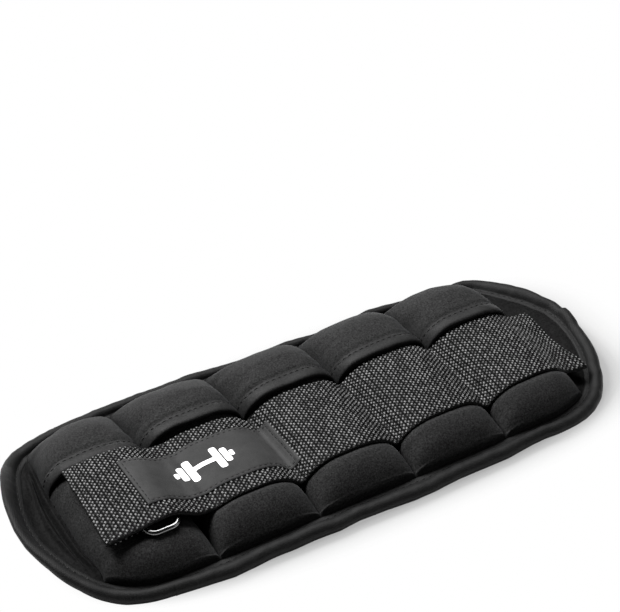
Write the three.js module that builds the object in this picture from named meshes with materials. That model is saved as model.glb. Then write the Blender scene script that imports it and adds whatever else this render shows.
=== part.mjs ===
// Adjustable ankle cuff weight, laid open and flat, millimetres, +Z up.
// Five pockets side by side along X; the lining faces down, the pockets face up.
// +X runs towards the sewn root of the strap, +Y towards the folded side of the pocket flaps.
import * as THREE from 'three';

// ---------------------------------------------------------------- driving dimensions
const PITCH = 51.5;            // pocket pitch along X
const POCKETS = 5;
const HALF_W = 64;             // half of the overall width (Y)
const END_RING = 151.5;        // reach of the outline past the middle pocket's centre, ring end
const END_STRAP = 156.5;       // the same at the strap's sewn end
const END_R = 55;              // length over which each end rounds off
const GAP = 0.15;              // half of the gap kept at each seam plane
const SHIFT_X = -2.5;          // puts the middle of the overall length at X = 0
const LINING_T = 2.5;          // neoprene lining
const COVER_T = 1.5;           // outer cover
const FLANGE_Z = 5.0;          // top of the cover where it is sewn flat
const CREST_LOW = 19.0;        // pocket front, under the strap
const CREST_LOW_1 = 18.1;      // same on pocket 1, under the ring
const CREST_FLAP = 24.0;       // top of the pocket flaps
const FLAP_Y = 17.2;           // end of the flap sheet, inside its binding
const MOUTH_Y = 22.5;          // upper end of the pocket front, behind the flap
const BIND_SLOT = 4.6;         // bottom of the binding's slot, from the outer edge
const BIND_LIP = 9.0;          // end of the binding's lips, from the outer edge
const EDGE_IN = 5.1;          // edge of the bound sheets, from the outer edge
const STRAP_Y0 = -39, STRAP_Y1 = 12;   // 51 mm webbing
const STRAP_T = 1.6;
const STRAP_TAIL_X = -121;     // free end of the strap
const STRAP_ROOT_X = 141.5;      // sewn end of the strap
const PEEL_X = -77.25;         // where the strap tail bends up
const PEEL_Z = 17.6;
const LABEL_X0 = -97.5, LABEL_Y0 = -30, LABEL_Y1 = 2, LABEL_T = 0.8;
const HOOK_T = 0.7;
const RING_X0 = -104.1, RING_X1 = -89.1, RING_Y0 = -42.0, RING_Y1 = 12.4, RING_Z = 20.95;
const RING_R = 1.3;            // wire radius
const TAB_R = 2.5;             // outside of the webbing loop around the ring's bar
const TAB_Y0 = -36.5, TAB_Y1 = 7.0;

const group = new THREE.Group();

const MAT = {
  lining: { color: 0x1b1b1d, roughness: 0.95, metalness: 0 },
  cover: { color: 0x232325, roughness: 0.9, metalness: 0 },
  binding: { color: 0x151516, roughness: 0.85, metalness: 0 },
  webbing: { color: 0x3a3a3c, roughness: 0.8, metalness: 0 },
  label: { color: 0x3c3c3e, roughness: 0.7, metalness: 0 },
  hook: { color: 0x1a1a1a, roughness: 0.9, metalness: 0 },
  ring: { color: 0xb8babd, roughness: 0.18, metalness: 1 },
  bag: { color: 0x2c2c2e, roughness: 0.8, metalness: 0 },
  sand: { color: 0x4b4643, roughness: 0.9, metalness: 0.2 },
};

// ---------------------------------------------------------------- small helpers
const clamp01 = (v) => Math.max(0, Math.min(1, v));
const smooth = (v) => { const s = clamp01(v); return s * s * (3 - 2 * s); };
const lerp = (a, b, s) => a + (b - a) * s;

function addMesh(name, mat, pos, idx) {
  let vol = 0;
  for (let i = 0; i < idx.length; i += 3) {
    const [a, b, c] = [idx[i] * 3, idx[i + 1] * 3, idx[i + 2] * 3];
    vol += pos[a] * (pos[b + 1] * pos[c + 2] - pos[b + 2] * pos[c + 1])
      - pos[a + 1] * (pos[b] * pos[c + 2] - pos[b + 2] * pos[c])
      + pos[a + 2] * (pos[b] * pos[c + 1] - pos[b + 1] * pos[c]);
  }
  const tri = vol >= 0 ? idx : idx.slice();
  if (vol < 0) for (let i = 0; i < tri.length; i += 3) { const t = tri[i]; tri[i] = tri[i + 1]; tri[i + 1] = t; }
  const g = new THREE.BufferGeometry();
  g.setAttribute('position', new THREE.Float32BufferAttribute(pos, 3));
  g.setIndex(tri);
  g.computeVertexNormals();
  const m = new THREE.Mesh(g, new THREE.MeshStandardMaterial(MAT[mat]));
  m.name = name;
  m.position.x = SHIFT_X;
  group.add(m);
  return m;
}

// A sheet with thickness: fn(i, j) gives [x, y, zBottom, zTop] on an nu by nv grid of points.
function slab(name, mat, nu, nv, fn) {
  const pos = [], idx = [];
  const id = (i, j, side) => (i * nv + j) * 2 + side;
  for (let i = 0; i < nu; i++) for (let j = 0; j < nv; j++) {
    const [x, y, zb, zt] = fn(i, j);
    pos.push(x, y, zb, x, y, zt);
  }
  const quad = (a, b, c, d) => idx.push(a, b, c, a, c, d);
  for (let i = 0; i < nu - 1; i++) for (let j = 0; j < nv - 1; j++) {
    quad(id(i, j, 1), id(i + 1, j, 1), id(i + 1, j + 1, 1), id(i, j + 1, 1));
    quad(id(i, j, 0), id(i, j + 1, 0), id(i + 1, j + 1, 0), id(i + 1, j, 0));
  }
  for (let i = 0; i < nu - 1; i++) {
    quad(id(i, 0, 0), id(i + 1, 0, 0), id(i + 1, 0, 1), id(i, 0, 1));
    quad(id(i, nv - 1, 0), id(i, nv - 1, 1), id(i + 1, nv - 1, 1), id(i + 1, nv - 1, 0));
  }
  for (let j = 0; j < nv - 1; j++) {
    quad(id(0, j, 0), id(0, j, 1), id(0, j + 1, 1), id(0, j + 1, 0));
    quad(id(nu - 1, j, 0), id(nu - 1, j + 1, 0), id(nu - 1, j + 1, 1), id(nu - 1, j, 1));
  }
  return addMesh(name, mat, pos, idx);
}

// A section (closed loop of 3-D points per station) carried along its stations, with flat ends
// or joined end to end.
function sweep(name, mat, rings, flat2d, closed) {
  const n = rings[0].length, m = rings.length, pos = [], idx = [];
  for (const r of rings) for (const p of r) pos.push(p[0], p[1], p[2]);
  const last = closed ? m : m - 1;
  for (let s = 0; s < last; s++) for (let k = 0; k < n; k++) {
    const a = s * n + k, b = s * n + (k + 1) % n;
    const c = ((s + 1) % m) * n + (k + 1) % n, d = ((s + 1) % m) * n + k;
    idx.push(a, b, c, a, c, d);
  }
  if (!closed) {
    const tris = THREE.ShapeUtils.triangulateShape(flat2d.map((p) => new THREE.Vector2(p[0], p[1])), []);
    const cap = [];
    for (const t of tris) cap.push(t);
    // the side faces use the edge k -> k+1 on the first ring, so its cap must use it reversed
    const area = flat2d.reduce((s, p, i) => { const q = flat2d[(i + 1) % n]; return s + p[0] * q[1] - q[0] * p[1]; }, 0);
    for (const [a, b, c] of cap) {
      const o = (flat2d[b][0] - flat2d[a][0]) * (flat2d[c][1] - flat2d[a][1])
        - (flat2d[b][1] - flat2d[a][1]) * (flat2d[c][0] - flat2d[a][0]);
      const same = (o > 0) === (area > 0);
      const [u, v, w] = same ? [a, b, c] : [a, c, b];
      idx.push(u, w, v);
      const e = (m - 1) * n;
      idx.push(e + u, e + v, e + w);
    }
  }
  return addMesh(name, mat, pos, idx);
}

// Rings from one pole to another, each ring a closed loop of n points.
function poleBody(name, mat, rings, p0, p1) {
  const n = rings[0].length, m = rings.length, pos = [], idx = [];
  for (const r of rings) for (const p of r) pos.push(p[0], p[1], p[2]);
  for (let s = 0; s < m - 1; s++) for (let k = 0; k < n; k++) {
    const a = s * n + k, b = s * n + (k + 1) % n, c = (s + 1) * n + (k + 1) % n, d = (s + 1) * n + k;
    idx.push(a, b, c, a, c, d);
  }
  const i0 = pos.length / 3; pos.push(...p0);
  const i1 = pos.length / 3; pos.push(...p1);
  for (let k = 0; k < n; k++) {
    idx.push(i0, (k + 1) % n, k);
    idx.push(i1, (m - 1) * n + k, (m - 1) * n + (k + 1) % n);
  }
  return addMesh(name, mat, pos, idx);
}

// ---------------------------------------------------------------- outline and its edge distance
// The ends follow ((|x|-xr)/(55-n))^2 + (|y|/(64-n))^3 = 1, n being the distance in from the edge.
const xRound = (side) => (side < 0 ? END_RING : END_STRAP) - END_R;
const outlineX = (y, n, side) => xRound(side) + (END_R - n) * Math.sqrt(Math.max(0, 1 - Math.pow(Math.abs(y) / (HALF_W - n), 3)));
function edgeDistance(x, y) {
  const ax = Math.abs(x), ay = Math.abs(y), xr = xRound(Math.sign(x));
  if (ax <= xr) return HALF_W - ay;
  let lo = 0, hi = END_R - 0.01;
  for (let i = 0; i < 40; i++) {
    const n = (lo + hi) / 2;
    const f = ay >= HALF_W - n ? 2 : Math.pow((ax - xr) / (END_R - n), 2) + Math.pow(ay / (HALF_W - n), 3);
    if (f < 1) lo = n; else hi = n;
  }
  return lo;
}
// stations shared by the two sheets of the end margins
const MARGIN_U = [0, 0.12, 0.35, 0.68, 1];
const MARGIN_V = [-1, -0.92, -0.75, -0.42, 0, 0.42, 0.75, 0.92, 1];
const MARGIN_X = 2.5 * PITCH + 0.3;
const marginY = (side) => { let y = HALF_W - EDGE_IN; while (outlineX(y, EDGE_IN, side) < MARGIN_X + 0.6) y -= 0.02; return y; };
function liningX(y, i, side) {
  const at = (yy) => [1.5 * PITCH + GAP, 104, 122, ...MARGIN_U.map((u) => lerp(MARGIN_X, outlineX(yy, EDGE_IN, side), u))];
  const my = marginY(side);
  if (Math.abs(y) <= my + 1e-6) return at(y)[i];
  const a = at(my), x0 = a[0];
  return x0 + (a[i] - x0) * (outlineX(y, EDGE_IN, side) - x0) / (a[a.length - 1] - x0);
}
// The end margins curl up off the table: more at the ring end than at the strap end.
function lift(x, y) {
  const s = clamp01((Math.abs(x) - 127) / 27);
  const amp = x < 0 ? lerp(8, 15, smooth((y + 50) / 90)) : lerp(2, 6, smooth((y + 40) / 90));
  return amp * s * s;
}

// ---------------------------------------------------------------- pocket surfaces
const T_STATIONS = [-1, -0.95, -0.84, -0.62, -0.25, 0.25, 0.62, 0.84, 0.95, 1];
const centreX = (k) => (k - 3) * PITCH;
const HALF_P = PITCH / 2 - GAP;
const crown = (t) => Math.sqrt(Math.max(0, 1 - Math.pow(Math.min(1, Math.abs(t)), 3.2)));
const edgeRise = (n) => {
  if (n <= 10.6) return 0;
  if (n >= 20.5) return 1;
  return Math.sqrt(Math.max(0, 1 - Math.pow((20.5 - n) / 9.9, 2.4)));
};
// the flaps climb more gently from the far edge to their crest
const flapRise = (n) => {
  if (n <= 10.6) return 0;
  if (n >= 32) return 1;
  return Math.sqrt(Math.max(0, 1 - Math.pow((32 - n) / 21.4, 1.3)));
};
const riseDistance = (x, y) => {
  const n = edgeDistance(x, y);
  return n - 4.6 * clamp01((Math.abs(x) - 95) / 8) * 1.05 * clamp01((19.5 - n) / 7.5);
};
const crestLow = (k, y) => (k === 1 ? CREST_LOW_1 : CREST_LOW) + 1.0 * smooth((-45 - y) / 3);
function frontTop(k, x, y) {
  const t = (x - centreX(k)) / HALF_P;
  return FLANGE_Z + (crestLow(k, y) - FLANGE_Z) * crown(t) * edgeRise(riseDistance(x, y));
}
const crestFlap = (y) => lerp(22.0, CREST_FLAP, smooth((y - 16) / 16));
function flapTop(k, x, y) {
  const t = (x - centreX(k)) / HALF_P;
  const base = lerp(7.6, FLANGE_Z, smooth((y - 24) / 8));
  const n = riseDistance(x, y);
  return base + (crestFlap(y) - base) * crown(t) * lerp(edgeRise(n), flapRise(n), smooth((y - 22) / 10));
}
// inner and outer X of a pocket's row at height y, kept inside the bound edge
function rowX(k, y, t) {
  const c = centreX(k);
  let lo = c - HALF_P, hi = c + HALF_P;
  if (k === 1) lo = Math.max(lo, -outlineX(y, EDGE_IN, -1));
  if (k === 5) hi = Math.min(hi, outlineX(y, EDGE_IN, 1));
  return lerp(lo, hi, (t + 1) / 2);
}

const strapUnder = (k, x) => {
  const t = (x - centreX(k)) / HALF_P;
  return Math.max(FLANGE_Z + (CREST_LOW - FLANGE_Z) * crown(t) + 0.45, 11.4);
};

for (let k = 1; k <= POCKETS; k++) {
  const c = centreX(k), x0 = c - HALF_P, x1 = c + HALF_P;
  const outer = k === 1 ? -1 : k === POCKETS ? 1 : 0;

  // lining: flat on the table, raised by the binding's lower lip along its edges
  const lx = outer === 0 ? [x0, c, x1] : [0, 1, 2, ...MARGIN_U];
  const ly = [-(HALF_W - EDGE_IN), -55.5, ...MARGIN_V.map((v) => v * marginY(outer || 1)), 55.5, HALF_W - EDGE_IN];
  slab('lining_' + k, 'lining', lx.length, ly.length, (i, j) => {
    const y = ly[j];
    const x = outer === 0 ? lx[i] : outer * liningX(y, i, outer);
    const r = clamp01((18 - edgeDistance(x, y)) / 4);
    const up = lift(x, y);
    return [x, y, 1.2 * r + up, LINING_T + 0.7 * r + up];
  });

  // pocket front, from the near edge to behind the flap
  const fy = [-(HALF_W - EDGE_IN), -53.6, -52.2, -49.5, -44.5, -36, -10, MOUTH_Y];
  slab('pocket_front_' + k, 'cover', T_STATIONS.length, fy.length, (i, j) => {
    const y = fy[j], x = rowX(k, y, T_STATIONS[i]);
    const z = frontTop(k, x, y);
    return [x, y, z - COVER_T, z];
  });

  // pocket flap, sewn along the far edge and its sides
  const gy = [FLAP_Y, 23, 28, 34, 40, 46, 50.5, 53.4, HALF_W - EDGE_IN];
  slab('pocket_flap_' + k, 'cover', T_STATIONS.length, gy.length, (i, j) => {
    const y = gy[j], x = rowX(k, y, T_STATIONS[i]);
    const z = flapTop(k, x, y);
    return [x, y, z - COVER_T, z];
  });

  // folded tape around the flap's free edge
  const sec = [[14.5, -1.5], [15.3, -2.25], [19.6, -2.25], [19.6, -1.75], [16.8, -1.75], [16.8, 0.25], [19.6, 0.25], [19.6, 0.85], [15.3, 0.85], [14.5, 0.1]];
  const bx = T_STATIONS.map((t) => c + HALF_P * t);
  sweep('flap_binding_' + k, 'binding', bx.map((x) => sec.map(([y, dz]) => [x, y, flapTop(k, x, Math.max(y, FLAP_Y)) + dz + (dz < -1 ? 0.0 : 0)])), sec, false);

  // removable weight bag: sewn skin with a filling slit at its far end, and the iron sand in it
  const nSeg = 12;
  const near = k === 1 ? 3.5 : 0.5;         // the cuff's rounded end leaves bag 1 less room
  const far = k === 1 ? 3 : 0;              // and the same at its far end
  const by = [-45.5 + near, -43 + near, -36 + near, -10, 14, 30, 41 - far, 46 - far];
  const bw = [8, 14, 19.2, 21.3, 21.3, 21.0, 17.5, 14];
  const bt = [8.5, 12.2, 15.6, 16.2, 16.2, 16.2, 12.5, 9.5];
  const loop = (y, a, z0, z1, inset) => {
    const out = [];
    for (let s = 0; s < nSeg; s++) {
      const g = (s + 0.5) / nSeg * Math.PI * 2, cs = Math.cos(g), sn = Math.sin(g);
      const px = Math.sign(cs) * Math.pow(Math.abs(cs), 0.72) * (a - inset);
      const pz = (z0 + z1) / 2 + Math.sign(sn) * Math.pow(Math.abs(sn), 0.72) * ((z1 - z0) / 2 - inset);
      out.push([c + px, y, pz]);
    }
    return out;
  };
  const drop = k === 1 ? 0.9 : 0;
  const outerRings = by.map((y, i) => loop(y, bw[i], 3.0, bt[i] - drop, 0));
  const skinT = 0.8;
  const innerY = [-44.2 + near, -42 + near, -35.4 + near, -10, 14, 30, 40.6 - far, 46 - far];
  const innerRings = innerY.map((y, i) => loop(y, bw[i], 3.0, bt[i] - drop, skinT)).reverse();
  poleBody('bag_skin_' + k, 'bag', outerRings.concat(innerRings), [c, -46.3 + near, 5.6], [c, -44.8 + near, 5.6]);
  const fillY = [-43.2 + near, -41 + near, -34.8 + near, -10, 14, 29.5, 38.5 - far];
  const fillRings = fillY.map((y, i) => loop(y, bw[i], 3.0, bt[i] - drop, skinT + 0.75));
  poleBody('sand_fill_' + k, 'sand', fillRings, [c, -43.7 + near, 5.6], [c, 40.0 - far, 7.5]);

  // long-edge bindings of the three middle pockets
  if (outer === 0) for (const side of [-1, 1]) {
    const s2 = bindSection().map(([n, z]) => [side * (HALF_W - n), z]);
    sweep((side < 0 ? 'binding_near_' : 'binding_far_') + k, 'binding', [x0, c, x1].map((x) => s2.map(([y, z]) => [x, y, z])), s2, false);
  }

  // strap resting on the pocket fronts
  if (k >= 2) {
    const ts = [-1, -0.92, -0.8, -0.6, -0.25, 0.25, 0.6, 0.8, 0.92, 1];
    const xs = ts.map((t) => c + HALF_P * t);
    const und = xs.map((x) => strapUnder(k, x));
    if (k === 2) {
      // the strap spans the valley towards pocket 1 without dipping into it
      for (let i = 0; i < xs.length; i++) und[i] = Math.max(und[i], lerp(PEEL_Z - STRAP_T, 15.5, clamp01((xs[i] - PEEL_X) / 6)) - (i > 4 ? 20 : 0));
    }
    if (k === POCKETS) {
      xs.push(132, 136, 139.5, STRAP_ROOT_X);
      for (const x of [132, 136, 139.5, STRAP_ROOT_X]) und.push(Math.max(lerp(11.4, 7.2, clamp01((x - 129) / 6)), FLANGE_Z + 1.75 + lift(x, STRAP_Y1)));
    }
    slab(k === POCKETS ? 'strap_root' : 'strap_' + k, 'webbing', xs.length, 2, (i, j) => [xs[i], j ? STRAP_Y1 : STRAP_Y0, und[i], und[i] + STRAP_T]);
  }
}

// ---------------------------------------------------------------- edge binding
function bindSection() {
  return [
    [0, 3.3], [0.7, 1.3], [2.3, 0.25], [4.2, 0], [BIND_LIP, 0], [BIND_LIP, 0.85], [BIND_SLOT, 0.85],
    [BIND_SLOT, 5.5], [BIND_LIP, 5.6], [BIND_LIP, 6.35], [4.2, 6.6], [2.3, 6.35], [0.7, 5.3],
  ];
}
function endBinding(name, side) {
  const st = [];
  for (const x of [2 * PITCH - HALF_P, 90]) st.push({ x, phi: null });
  for (let i = 0; i <= 9; i++) st.push({ phi: Math.PI / 2 * (1 - i / 9) * (1 - i / 9) * (1 + 0.35 * i / 9) });
  const half = st.map((s) => (n) => {
    if (s.phi === null) return [s.x, HALF_W - n];
    return [xRound(side) + (END_R - n) * Math.cos(s.phi), (HALF_W - n) * Math.pow(Math.sin(s.phi), 2 / 3)];
  });
  const full = half.map((f) => ({ f, sy: -1 })).concat(half.slice(0, -1).reverse().map((f) => ({ f, sy: 1 })));
  const sec = bindSection();
  const rings = full.map(({ f, sy }) => sec.map(([n, z]) => {
    const [x, y] = f(n);
    const X = side * x, Y = sy * y;
    return [X, Y, z + lift(X, Y)];
  }));
  sweep(name, 'binding', rings, sec, false);
}
endBinding('binding_end_ring', -1);
endBinding('binding_end_strap', 1);

// ---------------------------------------------------------------- end margins of the cover
for (const side of [-1, 1]) {
  slab(side < 0 ? 'margin_cover_ring' : 'margin_cover_strap', 'cover', MARGIN_U.length, MARGIN_V.length, (i, j) => {
    const y = MARGIN_V[j] * marginY(side);
    const x = side * lerp(MARGIN_X, outlineX(y, EDGE_IN, side), MARGIN_U[i]);
    const up = lift(x, y);
    return [x, y, FLANGE_Z - COVER_T + up, FLANGE_Z - 0.15 + up];
  });
}

// ---------------------------------------------------------------- strap tail, label, hook patch
const tailUnder = (x) => {
  const pts = [[-77.4, PEEL_Z - STRAP_T], [-81, 18.6], [-84.5, 21.4], [-87.5, 23.3], [-91, 24.4], [-95, 24.65], [-112, 24.65], [-117, 24.4], [STRAP_TAIL_X, 23.9]];
  for (let i = 0; i < pts.length - 1; i++) if (x <= pts[i][0] && x >= pts[i + 1][0]) return lerp(pts[i][1], pts[i + 1][1], (pts[i][0] - x) / (pts[i][0] - pts[i + 1][0]));
  return pts[0][1];
};
{
  const xs = [-77.4, -81, -84.5, -87.5, -91, -95, -112, -117, STRAP_TAIL_X];
  slab('strap_tail', 'webbing', xs.length, 2, (i, j) => [xs[i], j ? STRAP_Y1 : STRAP_Y0, tailUnder(xs[i]), tailUnder(xs[i]) + STRAP_T]);
  const ls = [-80.2, -81, -84.5, -87.5, -91, -95, LABEL_X0];
  slab('label_end', 'label', ls.length, 2, (i, j) => { const z = tailUnder(ls[i]) + STRAP_T + 0.3; return [ls[i], j ? LABEL_Y1 : LABEL_Y0, z, z + LABEL_T]; });
  const hs = [-93.0, -95, -112, -117, -119.5];
  slab('hook_patch', 'hook', hs.length, 2, (i, j) => { const z = tailUnder(hs[i]) - 0.25; return [hs[i], j ? STRAP_Y1 - 2 : STRAP_Y0 + 2, z - HOOK_T, z]; });
  const c = centreX(2), ms = [-0.86, -0.8, -0.6, -0.25, 0.25, 0.6, 0.8, 0.92, 1].map((t) => c + HALF_P * t);
  const und = (x) => {
    const ts = [-1, -0.92, -0.8, -0.6, -0.25, 0.25, 0.6, 0.8, 0.92, 1].map((t) => c + HALF_P * t);
    const zs = ts.map((v, i) => Math.max(strapUnder(2, v), lerp(PEEL_Z - STRAP_T, 15.5, clamp01((v - PEEL_X) / 6)) - (i > 4 ? 20 : 0)));
    for (let i = 0; i < ts.length - 1; i++) if (x >= ts[i] - 1e-9 && x <= ts[i + 1] + 1e-9) return lerp(zs[i], zs[i + 1], (x - ts[i]) / (ts[i + 1] - ts[i]));
    return zs[0];
  };
  slab('label_main', 'label', ms.length, 2, (i, j) => { const z = und(ms[i]) + STRAP_T + 0.3; return [ms[i], j ? LABEL_Y1 : LABEL_Y0, z, z + LABEL_T]; });
}

// ---------------------------------------------------------------- rectangular ring of round wire
{
  const rc = 4.2, pts = [];
  const corner = (cx, cy, a0) => { for (let i = 0; i <= 3; i++) { const a = a0 + i / 3 * Math.PI / 2; pts.push([cx + rc * Math.cos(a), cy + rc * Math.sin(a)]); } };
  corner(RING_X1 - rc, RING_Y1 - rc, 0);
  corner(RING_X0 + rc, RING_Y1 - rc, Math.PI / 2);
  corner(RING_X0 + rc, RING_Y0 + rc, Math.PI);
  corner(RING_X1 - rc, RING_Y0 + rc, Math.PI * 1.5);
  const m = pts.length;
  const rings = pts.map((p, i) => {
    const q = pts[(i + 1) % m], o = pts[(i + m - 1) % m];
    const dx = q[0] - o[0], dy = q[1] - o[1], l = Math.hypot(dx, dy);
    const nx = dy / l, ny = -dx / l, out = [];
    for (let s = 0; s < 10; s++) {
      const a = s / 10 * Math.PI * 2;
      out.push([p[0] + nx * RING_R * Math.cos(a), p[1] + ny * RING_R * Math.cos(a), RING_Z + RING_R * Math.sin(a)]);
    }
    return out;
  });
  sweep('ring', 'ring', rings, null, true);
}

// ---------------------------------------------------------------- webbing tab that holds the ring
{
  const cx = RING_X0, cz = RING_Z;
  const xs = [-108.6, -112, -115.5, -118.8];
  const bot = xs.map((x) => frontTop(1, x, -10) + 0.4);
  const shape = new THREE.Shape();
  const p = [];
  for (let i = xs.length - 1; i >= 0; i--) p.push([xs[i], bot[i]]);
  for (let i = 0; i <= 12; i++) {            // round the bar, from under its left side to over it
    const a = (215 + (505 - 215) * i / 12) * Math.PI / 180;
    p.push([cx + TAB_R * Math.cos(a), cz + TAB_R * Math.sin(a)]);
  }
  for (let i = 0; i < xs.length; i++) p.push([xs[i], bot[i] + 1.7]);
  shape.setFromPoints(p.map((q) => new THREE.Vector2(q[0], q[1])));
  const hole = new THREE.Path();
  hole.setFromPoints(Array.from({ length: 12 }, (_, i) => new THREE.Vector2(cx + 1.6 * Math.cos(-i / 12 * 2 * Math.PI), cz + 1.6 * Math.sin(-i / 12 * 2 * Math.PI))));
  shape.holes.push(hole);
  const g = new THREE.ExtrudeGeometry(shape, { depth: TAB_Y1 - TAB_Y0, bevelEnabled: false, curveSegments: 1 });
  g.rotateX(Math.PI / 2);                    // shape plane becomes XZ, depth runs along -Y
  const m = new THREE.Mesh(g, new THREE.MeshStandardMaterial(MAT.webbing));
  m.name = 'ring_tab';
  m.position.set(SHIFT_X, TAB_Y1, 0);
  group.add(m);
}

export default group;
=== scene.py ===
"""Looks of the ankle cuff weight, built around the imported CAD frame. Lengths are in millimetres here
and become metres when a mesh is made. Pocket coordinates: x = 0 at the middle pocket's centre."""
import bpy
import math
import numpy as np
from mathutils import Vector, Matrix


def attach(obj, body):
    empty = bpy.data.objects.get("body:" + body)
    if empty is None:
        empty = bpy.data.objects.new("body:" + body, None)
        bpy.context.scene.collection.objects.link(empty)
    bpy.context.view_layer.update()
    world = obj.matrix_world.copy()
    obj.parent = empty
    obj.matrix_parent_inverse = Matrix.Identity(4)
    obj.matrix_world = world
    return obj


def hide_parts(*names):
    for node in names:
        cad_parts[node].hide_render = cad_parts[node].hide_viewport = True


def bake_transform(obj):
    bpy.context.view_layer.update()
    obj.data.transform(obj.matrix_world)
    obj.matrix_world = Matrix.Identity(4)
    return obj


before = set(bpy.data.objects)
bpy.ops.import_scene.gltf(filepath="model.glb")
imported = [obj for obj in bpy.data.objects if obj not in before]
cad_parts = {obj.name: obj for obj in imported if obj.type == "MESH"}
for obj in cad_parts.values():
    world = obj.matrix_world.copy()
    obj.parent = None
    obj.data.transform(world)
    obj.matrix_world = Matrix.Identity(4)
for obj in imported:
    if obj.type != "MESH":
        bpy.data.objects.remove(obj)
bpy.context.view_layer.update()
SHIFT = -2.5                      # pocket coordinates to the row frame, in x
PITCH = 51.5
HALF_W = 64.0
SEAMS = (-77.25, -25.75, 25.75, 77.25)
BODY = {k: f"panel_{k}" for k in range(1, 6)}


# ------------------------------------------------------------------ small maths
def sm(t):
    t = np.clip(t, 0, 1)
    return t * t * (3 - 2 * t)


def lerp(a, b, t):
    return a + (b - a) * t


def _hash(ix, iy, seed):
    h = (ix.astype(np.int64) * 374761393 + iy.astype(np.int64) * 668265263 + int(seed) * 974634777) & 0xFFFFFFFF
    h = ((h ^ (h >> 13)) * 1274126177) & 0xFFFFFFFF
    return ((h ^ (h >> 16)) & 0xFFFF) / 32767.5 - 1.0


def noise(x, y, seed=0):
    """Smooth value noise, -1 to 1."""
    x, y = np.broadcast_arrays(np.asarray(x, float), np.asarray(y, float))
    ix, iy = np.floor(x), np.floor(y)
    fx, fy = sm(x - ix), sm(y - iy)
    a, b = _hash(ix, iy, seed), _hash(ix + 1, iy, seed)
    c, d = _hash(ix, iy + 1, seed), _hash(ix + 1, iy + 1, seed)
    return lerp(lerp(a, b, fx), lerp(c, d, fx), fy)


def fnoise(x, y, seed=0, octaves=3):
    out, amp, tot = 0, 1.0, 0
    for o in range(octaves):
        out = out + amp * noise(np.asarray(x) * 2 ** o, np.asarray(y) * 2 ** o, seed + 17 * o)
        tot += amp
        amp *= 0.5
    return out / tot


def centre(k):
    return (k - 3) * PITCH


# ------------------------------------------------------------------ outline of the cuff
XR = {-1: 96.5, 1: 101.5}
END_R = 55.0


def edge_n(x, y):
    """Distance in from the cuff's cut edge, in the flat."""
    x, y = np.broadcast_arrays(np.asarray(x, float), np.asarray(y, float))
    xr = np.where(x < 0, XR[-1], XR[1])
    ax, ay = np.abs(x) - xr, np.abs(y)
    lo, hi = np.full(x.shape, -20.0), np.full(x.shape, 54.5)
    for _ in range(26):
        mid = (lo + hi) / 2
        f = (np.maximum(ax, 0) / (END_R - mid)) ** 2 + (ay / (HALF_W - mid)) ** 3
        lo, hi = np.where(f < 1, mid, lo), np.where(f < 1, hi, mid)
    return np.where(ax > 0, (lo + hi) / 2, HALF_W - ay)


def outline_x(y, n, side):
    """Where the line n mm in from the edge crosses y, on that side (-1 ring end, 1 strap end)."""
    q = np.clip(1 - (np.abs(y) / (HALF_W - n)) ** 3, 0, 1)
    return side * (XR[side] + (END_R - n) * np.sqrt(q))


def lift(x, y):
    s = np.clip((np.abs(x) - 124) / 29, 0, 1)
    amp = np.where(x < 0, lerp(7.0, 15.5, sm((y + 50) / 90)), lerp(2, 6, sm((y + 40) / 90)))
    return amp * s ** 1.9


NEAR_X = [-125, -112, -102, -94, -75.6, -54.7, -33.9, -21, -10, 4, 19, 30, 44, 57.6, 72, 87, 95, 109, 120, 130]
NEAR_D = [0.6, 0.6, 0.8, -0.1, -2.3, -1.3, -1.2, -1.6, -1.0, -1.6, -2.8, -2.5, -1.1, -1.4, -1.4, 0.6, 1.0, 0.0, -0.8, 0.0]
FAR_X = [-125, -112, -102, -82, -63, -43, -30, -17, -11, -5, 2, 9, 16, 24, 30, 36, 45, 54, 60, 66, 74, 84, 92, 100, 108, 116, 125]
FAR_D = [0.0, -0.6, -2.0, -0.8, -0.6, -0.2, -0.2, -1.4, -2.5, -3.2, -3.7, -3.7, -3.3, -3.3, -3.8, -4.4, -5.0, -5.1, -4.3, -3.2, -2.0, -2.6, -4.0, -5.6, -4.6,
         -2.8, -1.0]
END_PHI = {1: [-90, -73, -63, -54, -44, -34, -20, -8, 1, 11, 17.5, 31, 40, 47.6, 55, 60, 66, 73, 82, 90],
           -1: [-90, -71, -61, -52, -39, -24, -11, 1, 12, 21, 28, 36, 48, 57, 63, 70, 80, 90]}
END_IN = {1: [0.0, 0.4, 0.0, 0.6, 2.2, 2.9, 1.0, -0.8, -1.6, -0.6, 2.0, 5.0, 4.4, 2.6, 0.4, 0.0, 1.4, 3.6, 2.0, 0.0],
          -1: [0.0, 0.3, 0.8, 2.3, 3.8, 3.1, 1.0, 0.9, 2.6, 4.3, 4.9, 4.6, 2.2, 0.7, 1.2, 1.6, 0.6, 0.0]}


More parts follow.
